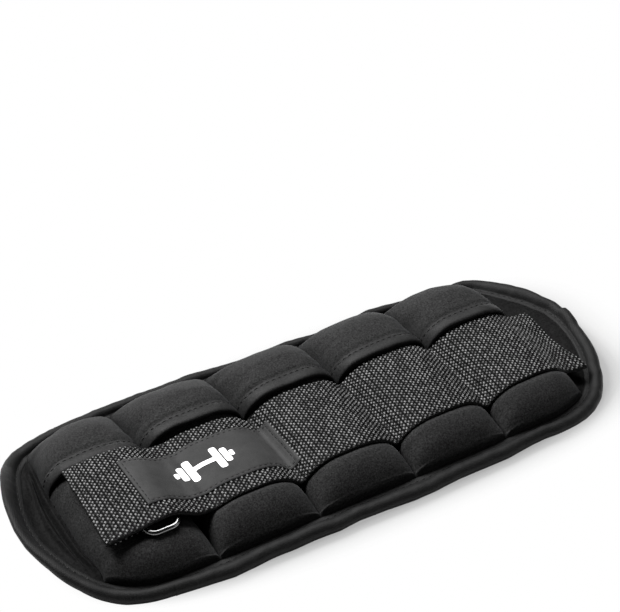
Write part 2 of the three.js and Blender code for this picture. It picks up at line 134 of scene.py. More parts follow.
def drape(P):
    """The flat lay-out to how the cuff lies: its ends lift off the floor and its long edges wander."""
    P = np.array(P, float)
    x, y = P[..., 0].copy(), P[..., 1].copy()
    P[..., 2] += lift(x, y)
    near = np.interp(x, NEAR_X, NEAR_D)
    far = np.interp(x, FAR_X, FAR_D)
    P[..., 1] += near * sm((-y - 50) / 14) + far * sm((y - 46) / 16)
    P[..., 1] += 0.3 * noise(x / 11, 0.3, 5) * sm((np.abs(y) - 52) / 10) * sm((118 - np.abs(x)) / 12)
    for side in (-1, 1):
        ax = side * x - XR[side]
        on = ax > 0
        if not on.any():
            continue
        n = edge_n(x, y)
        phi = np.degrees(np.arctan2(y / HALF_W, np.maximum(ax, 0) / END_R))
        amt = np.interp(phi, END_PHI[side], END_IN[side]) * sm((24 - n) / 16)
        gx, gy = 2 * np.maximum(ax, 0) / END_R ** 2, 3 * y * np.abs(y) / HALF_W ** 3
        g = np.maximum(np.hypot(gx, gy), 1e-9)
        P[..., 0] -= np.where(on, side * amt * gx / g, 0)
        P[..., 1] -= np.where(on, amt * gy / g, 0)
    return P


# ------------------------------------------------------------------ mesh making
class Build:
    def __init__(self):
        self.v, self.loops, self.tot, self.mat, self.att, self.n = [], [], [], [], [], 0

    def add(self, verts, faces, mat=0, att=None):
        """faces is a list of int arrays: each (m, k) array holds m faces of k corners."""
        verts = np.asarray(verts, float).reshape(-1, 3)
        self.v.append(verts)
        for f in faces:
            f = np.asarray(f, np.int64)
            if f.size == 0:
                continue
            if f.ndim == 1:
                f = f[None]
            self.loops.append((f + self.n).ravel())
            self.tot.append(np.full(len(f), f.shape[1]))
            self.mat.append(np.full(len(f), mat))
        self.att.append(np.zeros((len(verts), 3)) if att is None else np.asarray(att, float).reshape(-1, 3))
        self.n += len(verts)

    def make(self, name, mats, sharp=None):
        co = np.concatenate(self.v)
        co = (co + [SHIFT, 0, 0]) / 1000.0
        loops, tot = np.concatenate(self.loops), np.concatenate(self.tot)
        start = np.concatenate([[0], np.cumsum(tot)[:-1]])
        me = bpy.data.meshes.new(name)
        me.vertices.add(len(co))
        me.vertices.foreach_set("co", co.astype(np.float32).ravel())
        me.loops.add(len(loops))
        me.loops.foreach_set("vertex_index", loops.astype(np.int32))
        me.polygons.add(len(tot))
        me.polygons.foreach_set("loop_start", start.astype(np.int32))
        me.polygons.foreach_set("material_index", np.concatenate(self.mat).astype(np.int32))
        me.update(calc_edges=True)
        me.validate()
        a = me.attributes.new("lay", "FLOAT_VECTOR", "POINT")
        a.data.foreach_set("vector", np.concatenate(self.att).astype(np.float32).ravel())
        me.shade_smooth()
        if sharp:
            me.set_sharp_from_angle(angle=math.radians(sharp))
        for m in mats:
            me.materials.append(m)
        ob = bpy.data.objects.new(name, me)
        bpy.context.scene.collection.objects.link(ob)
        return ob


def quads(nu, nv, off=0, flip=False, close_v=False):
    i, j = np.meshgrid(np.arange(nu - 1), np.arange(nv if close_v else nv - 1), indexing="ij")
    j2 = (j + 1) % nv
    a, b, c, d = i * nv + j, (i + 1) * nv + j, (i + 1) * nv + j2, i * nv + j2
    f = np.stack([a, b, c, d], -1).reshape(-1, 4) + off
    return f[:, ::-1] if flip else f


def shell(B, top, bot, mat=0, att=None, mat_bot=None):
    """Closed slab between two grids of the same size."""
    nu, nv = top.shape[:2]
    N = nu * nv
    verts = np.concatenate([top.reshape(-1, 3), bot.reshape(-1, 3)])
    att2 = None
    if att is not None:
        att2 = np.concatenate([att.reshape(-1, 3), att.reshape(-1, 3)])
    rim = []
    u = np.arange(nu - 1)
    v = np.arange(nv - 1)
    rim.append(np.stack([u * nv, u * nv + N, (u + 1) * nv + N, (u + 1) * nv], -1))
    e = nv - 1
    rim.append(np.stack([(u + 1) * nv + e, (u + 1) * nv + e + N, u * nv + e + N, u * nv + e], -1))
    rim.append(np.stack([v + 1, v + 1 + N, v + N, v], -1))
    w = (nu - 1) * nv
    rim.append(np.stack([w + v, w + v + N, w + v + 1 + N, w + v + 1], -1))
    faces = [quads(nu, nv)] + rim
    if mat_bot is None or mat_bot == mat:
        B.add(verts, faces + [quads(nu, nv, N, True)], mat, att2)
    else:
        n0 = B.n
        B.add(verts, faces, mat, att2)
        B.add(np.zeros((0, 3)), [quads(nu, nv, N, True) - (B.n - n0)], mat_bot, np.zeros((0, 3)))


def sweep(B, rings, mat=0, att=None, flip=False, caps=True):
    """rings is (stations, points round the section, 3)."""
    nu, nv = rings.shape[:2]
    faces = [quads(nu, nv, 0, flip, True)]
    if caps:
        a, b = np.arange(nv), (nu - 1) * nv + np.arange(nv)
        faces += [a[None] if not flip else a[::-1][None], b[::-1][None] if not flip else b[None]]
    B.add(rings.reshape(-1, 3), faces, mat, att)


def normals_of(G):
    du, dv = np.gradient(G, axis=0), np.gradient(G, axis=1)
    n = np.cross(du, dv)
    return n / np.maximum(np.linalg.norm(n, axis=-1, keepdims=True), 1e-9)


def stitches(B, pts, up, mat, length=2.3, gap=1.0, r=0.26, sink=0.08, phase=0.5, jitter=0.12, seed=1):
    """A row of thread stitches along a dense polyline, lying on the surface whose normal is up."""
    pts, up = np.asarray(pts, float), np.asarray(up, float)
    s = np.concatenate([[0], np.cumsum(np.linalg.norm(np.diff(pts, axis=0), axis=1))])
    total = s[-1]
    count = int((total - gap) / (length + gap))
    if count < 1:
        return
    step = total / count
    cs = (np.arange(count) + phase) * step
    cs = cs[(cs > length / 2) & (cs < total - length / 2)]
    if len(cs) == 0:
        return
    j = _hash(np.arange(len(cs)), np.full(len(cs), 3), seed) * jitter
    cs = cs + j * 0.5

    def at(q):
        return np.stack([np.interp(q, s, pts[:, i]) for i in range(3)], -1)

    ups = np.stack([np.interp(cs, s, up[:, i]) for i in range(3)], -1)
    ups /= np.linalg.norm(ups, axis=1, keepdims=True)
    A = [-1, -0.72, 0, 0.72, 1]
    rad = [0.25, 0.85, 1.0, 0.85, 0.25]
    seg = 6
    rings = []
    for a, rr in zip(A, rad):
        c = at(cs + a * length / 2) + ups * (r * 0.75 - sink - 1.15 * r * a * a)
        d = at(cs + length / 2) - at(cs - length / 2)
        d /= np.linalg.norm(d, axis=1, keepdims=True)
        side = np.cross(d, ups)
        side /= np.linalg.norm(side, axis=1, keepdims=True)
        upn = np.cross(side, d)
        ring = []
        for q in range(seg):
            an = 2 * math.pi * q / seg
            ring.append(c + r * rr * (math.cos(an) * side * 1.05 + math.sin(an) * upn * 0.85))
        rings.append(np.stack(ring, 1))
    R = np.stack(rings, 1)                       # (count, 5, seg, 3)
    m = len(cs)
    base = (np.arange(m) * 5 * seg)[:, None]
    f = []
    one = quads(5, seg, 0, True, True)
    f.append((base[:, :, None] + one[None]).reshape(-1, 4))
    f.append(base + np.arange(seg)[::-1][None])
    f.append(base + (4 * seg + np.arange(seg))[None])
    att = np.zeros((m * 5 * seg, 3))
    B.add(R.reshape(-1, 3), f, mat, att)


# ------------------------------------------------------------------ materials
def new_mat(name):
    m = bpy.data.materials.new(name)
    m.use_nodes = True
    nt = m.node_tree
    return m, nt, nt.nodes["Principled BSDF"]


def nd(nt, kind, **kw):
    n = nt.nodes.new(kind)
    for k, v in kw.items():
        if k.startswith("i_"):
            n.inputs[k[2:].replace("_", " ")].default_value = v
        else:
            setattr(n, k, v)
    return n


def ramp(nt, fac, stops):
    r = nt.nodes.new("ShaderNodeValToRGB")
    e = r.color_ramp.elements
    e[0].position, e[0].color = stops[0][0], (*stops[0][1], 1)
    e[1].position, e[1].color = stops[-1][0], (*stops[-1][1], 1)
    for p, c in stops[1:-1]:
        x = e.new(p)
        x.color = (*c, 1)
    nt.links.new(fac, r.inputs["Fac"])
    return r


def grey(v, warm=1.0):
    return (v, v, v * warm)


def cloth_mat(name, dark, light, grain=1500, knit=1700, knit_dir=(1, 0.35, 0), bump=0.35, rough=(0.7, 0.92), sheen=0.35,
              patch=90, spec=0.35, coarse=0.5, knit_depth=0.08, patchy=0.10):
    """Brushed or knitted fabric: fine grain, faint knit lines, slow colour drift, sheen."""
    m, nt, b = new_mat(name)
    L = nt.links.new
    tc = nd(nt, "ShaderNodeTexCoord")
    n1 = nd(nt, "ShaderNodeTexNoise", i_Scale=grain, i_Detail=3.0, i_Roughness=0.65)
    n2 = nd(nt, "ShaderNodeTexNoise", i_Scale=patch, i_Detail=3.0, i_Roughness=0.6)
    n3 = nd(nt, "ShaderNodeTexNoise", i_Scale=grain * 0.6, i_Detail=2.0, i_Roughness=0.55)
    for n in (n1, n2, n3):
        L(tc.outputs["Object"], n.inputs["Vector"])
    mp = nd(nt, "ShaderNodeMapping")
    mp.inputs["Rotation"].default_value = (0, 0, math.atan2(knit_dir[1], knit_dir[0]))
    L(tc.outputs["Object"], mp.inputs["Vector"])
    wv = nd(nt, "ShaderNodeTexWave", i_Scale=knit / 20.0 * 3.14159, i_Distortion=3.5, i_Detail=2.0)
    wv.bands_direction = "X"
    wv.inputs["Detail Scale"].default_value = 4.0
    L(mp.outputs["Vector"], wv.inputs["Vector"])
    mix = nd(nt, "ShaderNodeMath", operation="MULTIPLY_ADD")
    L(n1.outputs["Fac"], mix.inputs[0])
    mix.inputs[1].default_value = 0.62
    mul = nd(nt, "ShaderNodeMath", operation="MULTIPLY")
    L(n3.outputs["Fac"], mul.inputs[0])
    mul.inputs[1].default_value = coarse
    L(mul.outputs[0], mix.inputs[2])
    mix2 = nd(nt, "ShaderNodeMath", operation="MULTIPLY_ADD")
    L(n2.outputs["Fac"], mix2.inputs[0])
    mix2.inputs[1].default_value = patchy
    L(mix.outputs[0], mix2.inputs[2])
    r = ramp(nt, mix2.outputs[0], [(0.40, grey(dark)), (0.58, grey((dark + light) * 0.46)), (0.78, grey(light))])
    L(r.outputs["Color"], b.inputs["Base Color"])
    rr = nd(nt, "ShaderNodeMapRange")
    rr.inputs["To Min"].default_value, rr.inputs["To Max"].default_value = rough
    L(n1.outputs["Fac"], rr.inputs["Value"])
    L(rr.outputs[0], b.inputs["Roughness"])
    hs = nd(nt, "ShaderNodeMath", operation="MULTIPLY_ADD")
    L(wv.outputs["Fac"], hs.inputs[0])
    hs.inputs[1].default_value = knit_depth
    L(mix.outputs[0], hs.inputs[2])
    bp = nd(nt, "ShaderNodeBump", i_Strength=bump, i_Distance=0.00035)
    L(hs.outputs[0], bp.inputs["Height"])
    L(bp.outputs["Normal"], b.inputs["Normal"])
    b.inputs["Sheen Weight"].default_value = sheen
    b.inputs["Sheen Roughness"].default_value = 0.45
    b.inputs["Sheen Tint"].default_value = (0.8, 0.82, 0.86, 1)
    b.inputs["Specular IOR Level"].default_value = spec
    return m


def web_mat(name):
    """Polypropylene webbing: the yarn height in the lay attribute sets the base colour, as a painted highlight on each
    yarn's top and painted shade, near black, in the gaps between yarns; noise adds random tone.
    """
    m, nt, b = new_mat(name)
    L = nt.links.new
    at = nd(nt, "ShaderNodeAttribute", attribute_name="lay")
    sep = nd(nt, "ShaderNodeSeparateXYZ")
    L(at.outputs["Vector"], sep.inputs[0])
    tc = nd(nt, "ShaderNodeTexCoord")
    n1 = nd(nt, "ShaderNodeTexNoise", i_Scale=2600, i_Detail=2.0)
    L(tc.outputs["Object"], n1.inputs["Vector"])
    n2 = nd(nt, "ShaderNodeTexNoise", i_Scale=70, i_Detail=3.0)
    L(tc.outputs["Object"], n2.inputs["Vector"])
    # twist lines of the yarn filaments, along the strap
    mp = nd(nt, "ShaderNodeMapping")
    mp.inputs["Scale"].default_value = (1.0, 3.2, 1.0)
    L(at.outputs["Vector"], mp.inputs["Vector"])
    wv = nd(nt, "ShaderNodeTexWave", i_Scale=0.9, i_Distortion=0.6, i_Detail=1.0)
    wv.bands_direction = "DIAGONAL"
    L(mp.outputs["Vector"], wv.inputs["Vector"])
    add = nd(nt, "ShaderNodeMath", operation="MULTIPLY_ADD")
    L(n1.outputs["Fac"], add.inputs[0])
    add.inputs[1].default_value = 0.08
    # yarn height (lay Z) drives the painted highlight on yarn tops and the painted shade in the gaps
    zs = nd(nt, "ShaderNodeMath", operation="MULTIPLY")
    L(sep.outputs["Z"], zs.inputs[0])
    zs.inputs[1].default_value = 0.84
    L(zs.outputs[0], add.inputs[2])
    add2 = nd(nt, "ShaderNodeMath", operation="MULTIPLY_ADD")
    L(n2.outputs["Fac"], add2.inputs[0])
    add2.inputs[1].default_value = 0.08
    L(add.outputs[0], add2.inputs[2])
    # ramp from near-black painted shade in the gaps to pale painted highlight on the yarn tops
    r = ramp(nt, add2.outputs[0], [(0.16, grey(0.0002)), (0.38, grey(0.0025)), (0.62, grey(0.036)), (0.86, grey(0.15))])
    L(r.outputs["Color"], b.inputs["Base Color"])
    rr = nd(nt, "ShaderNodeMapRange")
    rr.inputs["To Min"].default_value, rr.inputs["To Max"].default_value = 0.3, 0.5
    L(n1.outputs["Fac"], rr.inputs["Value"])
    L(rr.outputs[0], b.inputs["Roughness"])
    bp = nd(nt, "ShaderNodeBump", i_Strength=0.5, i_Distance=0.00012)
    L(wv.outputs["Fac"], bp.inputs["Height"])
    L(bp.outputs["Normal"], b.inputs["Normal"])
    b.inputs["Specular IOR Level"].default_value = 0.06
    b.inputs["Sheen Weight"].default_value = 0.0
    return m


def label_mat(name, dark, light):
    """Satin woven badge: very fine weave, soft patches."""
    m, nt, b = new_mat(name)
    L = nt.links.new
    tc = nd(nt, "ShaderNodeTexCoord")
    n1 = nd(nt, "ShaderNodeTexNoise", i_Scale=1900, i_Detail=2.0, i_Roughness=0.6)
    n2 = nd(nt, "ShaderNodeTexNoise", i_Scale=60, i_Detail=4.0, i_Roughness=0.65)
    L(tc.outputs["Object"], n1.inputs["Vector"])
    L(tc.outputs["Object"], n2.inputs["Vector"])
    ch = nd(nt, "ShaderNodeTexChecker", i_Scale=2200)
    L(tc.outputs["Object"], ch.inputs["Vector"])
    a = nd(nt, "ShaderNodeMath", operation="MULTIPLY_ADD")
    L(n2.outputs["Fac"], a.inputs[0])
    a.inputs[1].default_value = 0.5
    mu = nd(nt, "ShaderNodeMath", operation="MULTIPLY")
    L(n1.outputs["Fac"], mu.inputs[0])
    mu.inputs[1].default_value = 0.5
    L(mu.outputs[0], a.inputs[2])
    r = ramp(nt, a.outputs[0], [(0.3, grey(dark)), (0.7, grey(light))])
    L(r.outputs["Color"], b.inputs["Base Color"])
    rr = nd(nt, "ShaderNodeMapRange")
    rr.inputs["To Min"].default_value, rr.inputs["To Max"].default_value = 0.5, 0.72
    L(n1.outputs["Fac"], rr.inputs["Value"])
    L(rr.outputs[0], b.inputs["Roughness"])
    h = nd(nt, "ShaderNodeMath", operation="MULTIPLY_ADD")
    L(ch.outputs["Fac"], h.inputs[0])
    h.inputs[1].default_value = 0.4
    L(n1.outputs["Fac"], h.inputs[2])
    bp = nd(nt, "ShaderNodeBump", i_Strength=0.25, i_Distance=0.00015)
    L(h.outputs[0], bp.inputs["Height"])
    L(bp.outputs["Normal"], b.inputs["Normal"])
    b.inputs["Sheen Weight"].default_value = 0.02
    b.inputs["Specular IOR Level"].default_value = 0.1
    return m


def thread_mat(name, dark, light):
    m, nt, b = new_mat(name)
    b.inputs["Specular IOR Level"].default_value = 0.1
    L = nt.links.new
    tc = nd(nt, "ShaderNodeTexCoord")
    wv = nd(nt, "ShaderNodeTexWave", i_Scale=900, i_Distortion=2.0, i_Detail=2.0)
    wv.bands_direction = "DIAGONAL"
    L(tc.outputs["Object"], wv.inputs["Vector"])
    r = ramp(nt, wv.outputs["Fac"], [(0.1, grey(dark)), (0.9, grey(light))])
    L(r.outputs["Color"], b.inputs["Base Color"])
    rr = nd(nt, "ShaderNodeMapRange")
    rr.inputs["To Min"].default_value, rr.inputs["To Max"].default_value = 0.38, 0.6
    L(wv.outputs["Fac"], rr.inputs["Value"])
    L(rr.outputs[0], b.inputs["Roughness"])
    bp = nd(nt, "ShaderNodeBump", i_Strength=0.4, i_Distance=0.0001)
    L(wv.outputs["Fac"], bp.inputs["Height"])
    L(bp.outputs["Normal"], b.inputs["Normal"])
    return m


def steel_mat(name):
    m, nt, b = new_mat(name)
    L = nt.links.new
    tc = nd(nt, "ShaderNodeTexCoord")
    n1 = nd(nt, "ShaderNodeTexNoise", i_Scale=500, i_Detail=4.0, i_Roughness=0.7)
    L(tc.outputs["Object"], n1.inputs["Vector"])
    n2 = nd(nt, "ShaderNodeTexNoise", i_Scale=120, i_Detail=3.0)
    L(tc.outputs["Object"], n2.inputs["Vector"])
    # base colour far darker than chrome: painted shade for the strap's shadow over the ring, on top of its real
    # metallic reflections
    r = ramp(nt, n2.outputs["Fac"], [(0.3, grey(0.05)), (0.7, grey(0.13))])
    L(r.outputs["Color"], b.inputs["Base Color"])
    rr = nd(nt, "ShaderNodeMapRange")
    rr.inputs["To Min"].default_value, rr.inputs["To Max"].default_value = 0.12, 0.3
    L(n1.outputs["Fac"], rr.inputs["Value"])
    L(rr.outputs[0], b.inputs["Roughness"])
    bp = nd(nt, "ShaderNodeBump", i_Strength=0.08, i_Distance=0.0001)
    L(n1.outputs["Fac"], bp.inputs["Height"])
    L(bp.outputs["Normal"], b.inputs["Normal"])
    b.inputs["Metallic"].default_value = 1.0
    return m


def sand_mat(name):
    m, nt, b = new_mat(name)
    L = nt.links.new
    tc = nd(nt, "ShaderNodeTexCoord")
    v = nd(nt, "ShaderNodeTexVoronoi", i_Scale=1400)
    L(tc.outputs["Object"], v.inputs["Vector"])
    r = ramp(nt, v.outputs["Color"], [(0.1, (0.03, 0.03, 0.032)), (0.9, (0.16, 0.15, 0.14))])
    L(r.outputs["Color"], b.inputs["Base Color"])
    bp = nd(nt, "ShaderNodeBump", i_Strength=0.8, i_Distance=0.0004)
    L(v.outputs["Distance"], bp.inputs["Height"])
    L(bp.outputs["Normal"], b.inputs["Normal"])
    b.inputs["Roughness"].default_value = 0.5
    b.inputs["Metallic"].default_value = 0.3
    return m


M_NEO = cloth_mat("neoprene_jersey", 0.0025, 0.030, grain=1700, bump=0.42, sheen=0.02, spec=0.06, coarse=0.38, patchy=0.06)
# end margins: a darker copy of the neoprene jersey, painted shade for the dark recessed margins
M_MARG_SHADED = cloth_mat("margin_jersey_painted_shade", 0.0004, 0.0065, grain=1250, bump=0.5, sheen=0.0, spec=0.04)
M_LIN = cloth_mat("lining_jersey", 0.002, 0.018, grain=1500, bump=0.4, sheen=0.02, spec=0.1, knit_dir=(0, 1, 0), knit_depth=0.25)
M_TAPE = cloth_mat("binding_knit", 0.0006, 0.0085, grain=2000, knit=2300, bump=0.35, rough=(0.5, 0.7), sheen=0.01, spec=0.10, coarse=0.35, knit_depth=0.3)
M_LIP = cloth_mat("flap_tape_knit", 0.0016, 0.021, grain=2000, knit=2300, bump=0.3, rough=(0.5, 0.7), sheen=0.01, spec=0.10, coarse=0.35, knit_depth=0.2)
M_WEB = web_mat("webbing_yarn_painted_highlight")
M_LABEL = label_mat("badge_satin", 0.005, 0.027)
M_WHITE = label_mat("badge_print_white", 0.72, 0.86)
M_THREAD = thread_mat("thread_black", 0.0008, 0.006)
M_THREAD2 = thread_mat("thread_charcoal", 0.003, 0.018)
M_HOOK = cloth_mat("hook_tape", 0.004, 0.022, grain=900, bump=1.0, sheen=0.1, rough=(0.4, 0.7))
M_STEEL = steel_mat("ring_chrome")
M_SAND = sand_mat("iron_sand")
M_BAG = cloth_mat("bag_cloth", 0.02, 0.07, grain=1200, knit=900, bump=0.6, sheen=0.1)


# ------------------------------------------------------------------ strap: one surface for strap, label, tail
def crown(t, p=3.2):
    return np.sqrt(np.clip(1 - np.abs(t) ** p, 0, 1))


def seam_t(x):
    k = np.clip(np.round(x / PITCH), -2, 2)
    return (x - k * PITCH) / (PITCH / 2)


_sx = np.arange(-150.0, 160.0, 0.25)


def _strap_under():
    z = np.maximum(5 + 14.0 * crown(seam_t(_sx), 3.0) + 0.55, 11.0)
    tail = np.interp(_sx, [-150, -121, -117, -112, -104, -95, -91, -87.5, -84.5, -81, -77.4, -74, -70],
                     [22.6, 23.0, 24.0, 24.55, 24.9, 24.65, 24.2, 23.0, 21.2, 19.2, 17.4, 17.6, 18.6])
    w = sm((_sx + 74) / 5)
    z = lerp(tail, z, w)
    right = np.interp(_sx, [100, 108, 114, 118, 121.5, 125, 128.5, 132, 136, 140, 146], [19.55, 19.4, 18.6, 17.2, 15.0, 12.6, 11.4, 11.2, 10.9, 9.9, 8.6])
    w = sm((_sx - 104) / 8)
    z = lerp(z, right, w)
    ker = np.exp(-0.5 * (np.arange(-16, 17) * 0.25 / 1.5) ** 2)
    ker /= ker.sum()
    zs = np.convolve(np.pad(z, 16, mode="edge"), ker, mode="valid")
    return zs


_su = _strap_under()
STRAP_Y0, STRAP_Y1 = -39.0, 12.0
STRAP_T = 1.25


def strap_mid(x, y):
    """Height of the strap's core surface (the yarn bumps stand on it)."""
    v = (y - (STRAP_Y0 + STRAP_Y1) / 2) / 25.5
    z = np.interp(x, _sx, _su) + STRAP_T
    free = sm((-76 - x) / 12)                     # the loose tail
    z = z - 0.55 * np.abs(v) ** 3 * (1 - 0.5 * free)
    z = z + 0.22 * fnoise(x / 16, y / 22, 31, 2)
    z = z + free * (0.9 * v * sm((-88 - x) / 20) - 0.9 * v * v * sm((-95 - x) / 18))
    right = sm((x - 116) / 8)
    z = z + right * (0.5 * np.sin(y / 5.3 + 1.0) * sm((x - 124) / 8) + 0.5 * fnoise(x / 6, y / 8, 77, 2))
    return z


# arc length along the strap at its middle
_mx = np.arange(-122.5, 144.0, 0.1)
_mz = np.interp(_mx, _sx, _su)
_ms = np.concatenate([[0], np.cumsum(np.hypot(np.diff(_mx), np.diff(_mz)))])
ROW, WARP = 1.36, 1.11


def weave(s, v):
    """Yarn relief for arc length s and place across v, in mm: height above the core. The webbing's painted highlight
    and painted shade are made from this height in strap_piece and the material.
    """
    best = np.full(np.broadcast(s, v).shape, 0.0)
    row0 = np.floor(s / ROW)
    for di in (-1, 0, 1):
        row = row0 + di
        pair = np.where(np.mod(row, 2) == 0, 0.15, -0.15)
        sc = (row + 0.5) * ROW + pair
        ds = s - sc
        par = np.mod(row, 2)
        j = np.round((v / WARP - par) / 2) * 2 + par          # the up yarn of this row that is nearest
        dv = v - j * WARP
        jig = _hash(row, j, 3)
        amp = 1 + 0.14 * jig
        q = 1 - (dv / 0.95) ** 2 - (ds / 0.74) ** 2
        h = amp * np.clip(q, 0, 1) ** 0.62
        best = np.maximum(best, h)
    return best


def strap_piece(name, x0, x1, body, blend=None, nodes=(), fray=False):
    s0, s1 = np.interp([x0, x1], _mx, _ms)
    nu = int((s1 - s0) / 0.34) // 4 * 4 + 1
    nv = 145
    s = np.linspace(s0, s1, nu)
    x = np.interp(s, _ms, _mx)
    v = np.linspace(-25.5, 25.5, nv)
    X, V = np.meshgrid(x, v, indexing="ij")
    S = np.meshgrid(s, v, indexing="ij")[0]
    Y = V + (STRAP_Y0 + STRAP_Y1) / 2
    edge_wave = 0.25 * noise(S / 9, np.sign(V), 12) + 0.12 * noise(S / 2.2, np.sign(V), 13)
    Y = Y + edge_wave * sm((np.abs(V) - 21) / 4)
    Xd = X.copy()
    if x0 < -119:                                  # cut end of the tail, slightly off square
        end = sm((-110 - X) / 12)
        Xd = Xd + end * (0.055 * V + 0.25 * noise(V / 2.0, 0.2, 41) * sm((-119.5 - X) / 1.5))
    if x1 > 130:
        end = sm((X - 124) / 12)
        Xd = Xd + end * (-0.02 * V + 1.1 * noise(V / 9, 0.7, 43) + 0.25 * noise(V / 1.7, 0.2, 44))
        Xd = Xd - end * 1.3 * (1 - (V / 25.5) ** 2)
    core = np.stack([Xd, Y, strap_mid(X, Y)], -1)
    N = normals_of(core)
    h = weave(S, V)
    sel = 1 - 0.55 * sm((np.abs(V) - 24.2) / 1.2)
    top = core + N * (0.42 * h * sel)[..., None]
    # round the long edges over
    top = top - N * (0.55 * sm((np.abs(V) - 24.4) / 1.1) ** 2)[..., None]
    # third value: yarn height, which the webbing material paints as highlight on yarn tops and as shade in the gaps
    att = np.stack([S, V, (h * sel) ** 1.7], -1)
    B = Build()
    # coarse underside
    ci, cj = np.arange(0, nu, 4), np.arange(0, nv, 4)
    low = core[np.ix_(ci, cj)] - N[np.ix_(ci, cj)] * STRAP_T
    lowh = np.cos(S[np.ix_(ci, cj)] * 2 * math.pi / (4 * 0.34 * 4)) * 0.0
    low = low + N[np.ix_(ci, cj)] * lowh[..., None]
    nlu, nlv = low.shape[:2]
    Nt = nu * nv
    verts = np.concatenate([top.reshape(-1, 3), low.reshape(-1, 3)])
    la = att[np.ix_(ci, cj)].copy()
    # the underside gets one flat middle value instead of the painted yarn highlight and shade
    la[..., 2] = 0.35
    attv = np.concatenate([att.reshape(-1, 3), la.reshape(-1, 3)])
    faces = [quads(nu, nv), quads(nlu, nlv, Nt, True)]
    a = np.arange(nlu - 1)
    # n-gons joining four fine steps to one coarse step
    def strip(top_ids, low_ids, flip):
        out = []
        for q in range(len(low_ids) - 1):
            fine = top_ids[4 * q:4 * q + 5]
            g = [low_ids[q], low_ids[q + 1], *fine[::-1]]
            out.append(g[::-1] if flip else g)
        return np.array(out)
    ti = np.arange(nu) * nv
    li = Nt + np.arange(nlu) * nlv
    faces.append(strip(ti, li, False))
    faces.append(strip(ti + nv - 1, li + nlv - 1, True))
    tj, lj = np.arange(nv), Nt + np.arange(nlv)
    faces.append(strip(tj, lj, True))
    faces.append(strip(tj + (nu - 1) * nv, lj + (nlu - 1) * nlv, False))
    B.add(verts, faces, 0, attv)
    ob = B.make(name, [M_WEB, M_THREAD])
    finish_piece(ob, body, blend, nodes)
    return ob


def row(x, y=0.0, z=0.0):
    return ((x + SHIFT) / 1000, y / 1000, z / 1000)


def finish_piece(ob, body, blend, nodes):
    if blend:
        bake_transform(ob)
    else:
        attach(ob, body)
    if nodes:
        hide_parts(*nodes)
    return ob


# ------------------------------------------------------------------ pockets
def side_left(y):
    return -127.0 + 0.045 * np.asarray(y, float)


def side_right(y):
    return 126.0 - 0.03 * np.asarray(y, float)


CREST_FRONT = {1: 18.2, 2: 19.2, 3: 18.9, 4: 19.3, 5: 19.0}
CREST_FLAP = {1: 22.6, 2: 24.0, 3: 23.6, 4: 24.1, 5: 24.0}
BAND_Y = {1: 15.2, 2: 15.0, 3: 14.4, 4: 13.2, 5: 12.2}      # lower edge of each flap's bound lip
SKEW = {1: 0.02, 2: 0.03, 3: -0.01, 4: 0.03, 5: 0.02}
N_FOOT = 9.0


def pocket_t(k, x, y):
    c = centre(k)
    left = np.full(np.shape(x), c - 25.62)
    right = np.full(np.shape(x), c + 25.62)
    if k == 1:
        left = np.maximum(side_left(y), -200)
    if k == 5:
        right = np.minimum(side_right(y), 200)
    return np.where(x < c, (x - c) / (c - left), (x - c) / (right - c))


def pocket_grid(k, ys, nu=111):
    """x positions for each y, from the pocket's left side to its right side, closer together near the sides."""
    c = centre(k)
    q = np.linspace(-1, 1, nu)
    q = np.sign(q) * (1 - (1 - np.abs(q)) ** 1.6)
    L = np.full(ys.shape, c - 25.62)
    R = np.full(ys.shape, c + 25.62)
    if k == 1:
        L = np.maximum(side_left(ys), outline_x(ys, N_FOOT, -1))
    if k == 5:
        R = np.minimum(side_right(ys), outline_x(ys, N_FOOT, 1))
    Q, Y = np.meshgrid(q, ys, indexing="ij")
    mid = np.full(ys.shape, c)
    mid = np.clip(mid, L + 1, R - 1)
    X = np.where(Q < 0, mid + Q * (mid - L), mid + Q * (R - mid))
    return X, Y


def foot_rise(n, n1, p):
    e = np.clip((n1 - n) / (n1 - N_FOOT), 0, 1)
    return np.sqrt(np.clip(1 - e ** p, 0, 1))


def front_height(k, x, y):
    t = pocket_t(k, x, y)
    n = edge_n(x, y)
    ts = t + SKEW[k] * (1 - t * t)
    p = np.where((ts < 0) & (k == 1), 3.3, 2.9)
    p = np.where((ts > 0) & (k == 5), 3.4, p)
    base = 4.5
    crest = CREST_FRONT[k] + 1.25 * sm((-38 - y) / 5) * sm((62 + y) / 12)
    wr = 0.55 * fnoise(x / 15, y / 15, 100 + k, 2)
    pucker = 0.5 * noise(y / 4.2, np.sign(t) * 2 + 0.3, 200 + k) * sm((np.abs(t) - 0.45) / 0.4) * sm((1 - np.abs(t)) / 0.06)
    # the cloth is drawn in along the foot seam
    gather = 0.35 * noise(x / 3.6, 0.4, 300 + k) * sm((20 - n) / 8) * sm((n - N_FOOT) / 2.5)
    z = base + (crest - base + wr) * crown(ts, p) * foot_rise(n, 24.5, 1.75) + pucker + gather
    # held down under the strap
    cap = np.interp(x, _sx, _su) - 0.45
    inside = sm((y - STRAP_Y0 + 2.5) / 3.0) * sm((STRAP_Y1 + 3.0 - y) / 3.0)
    zc = np.minimum(z, cap)
    z = lerp(z, zc, inside)
    return z, t, n


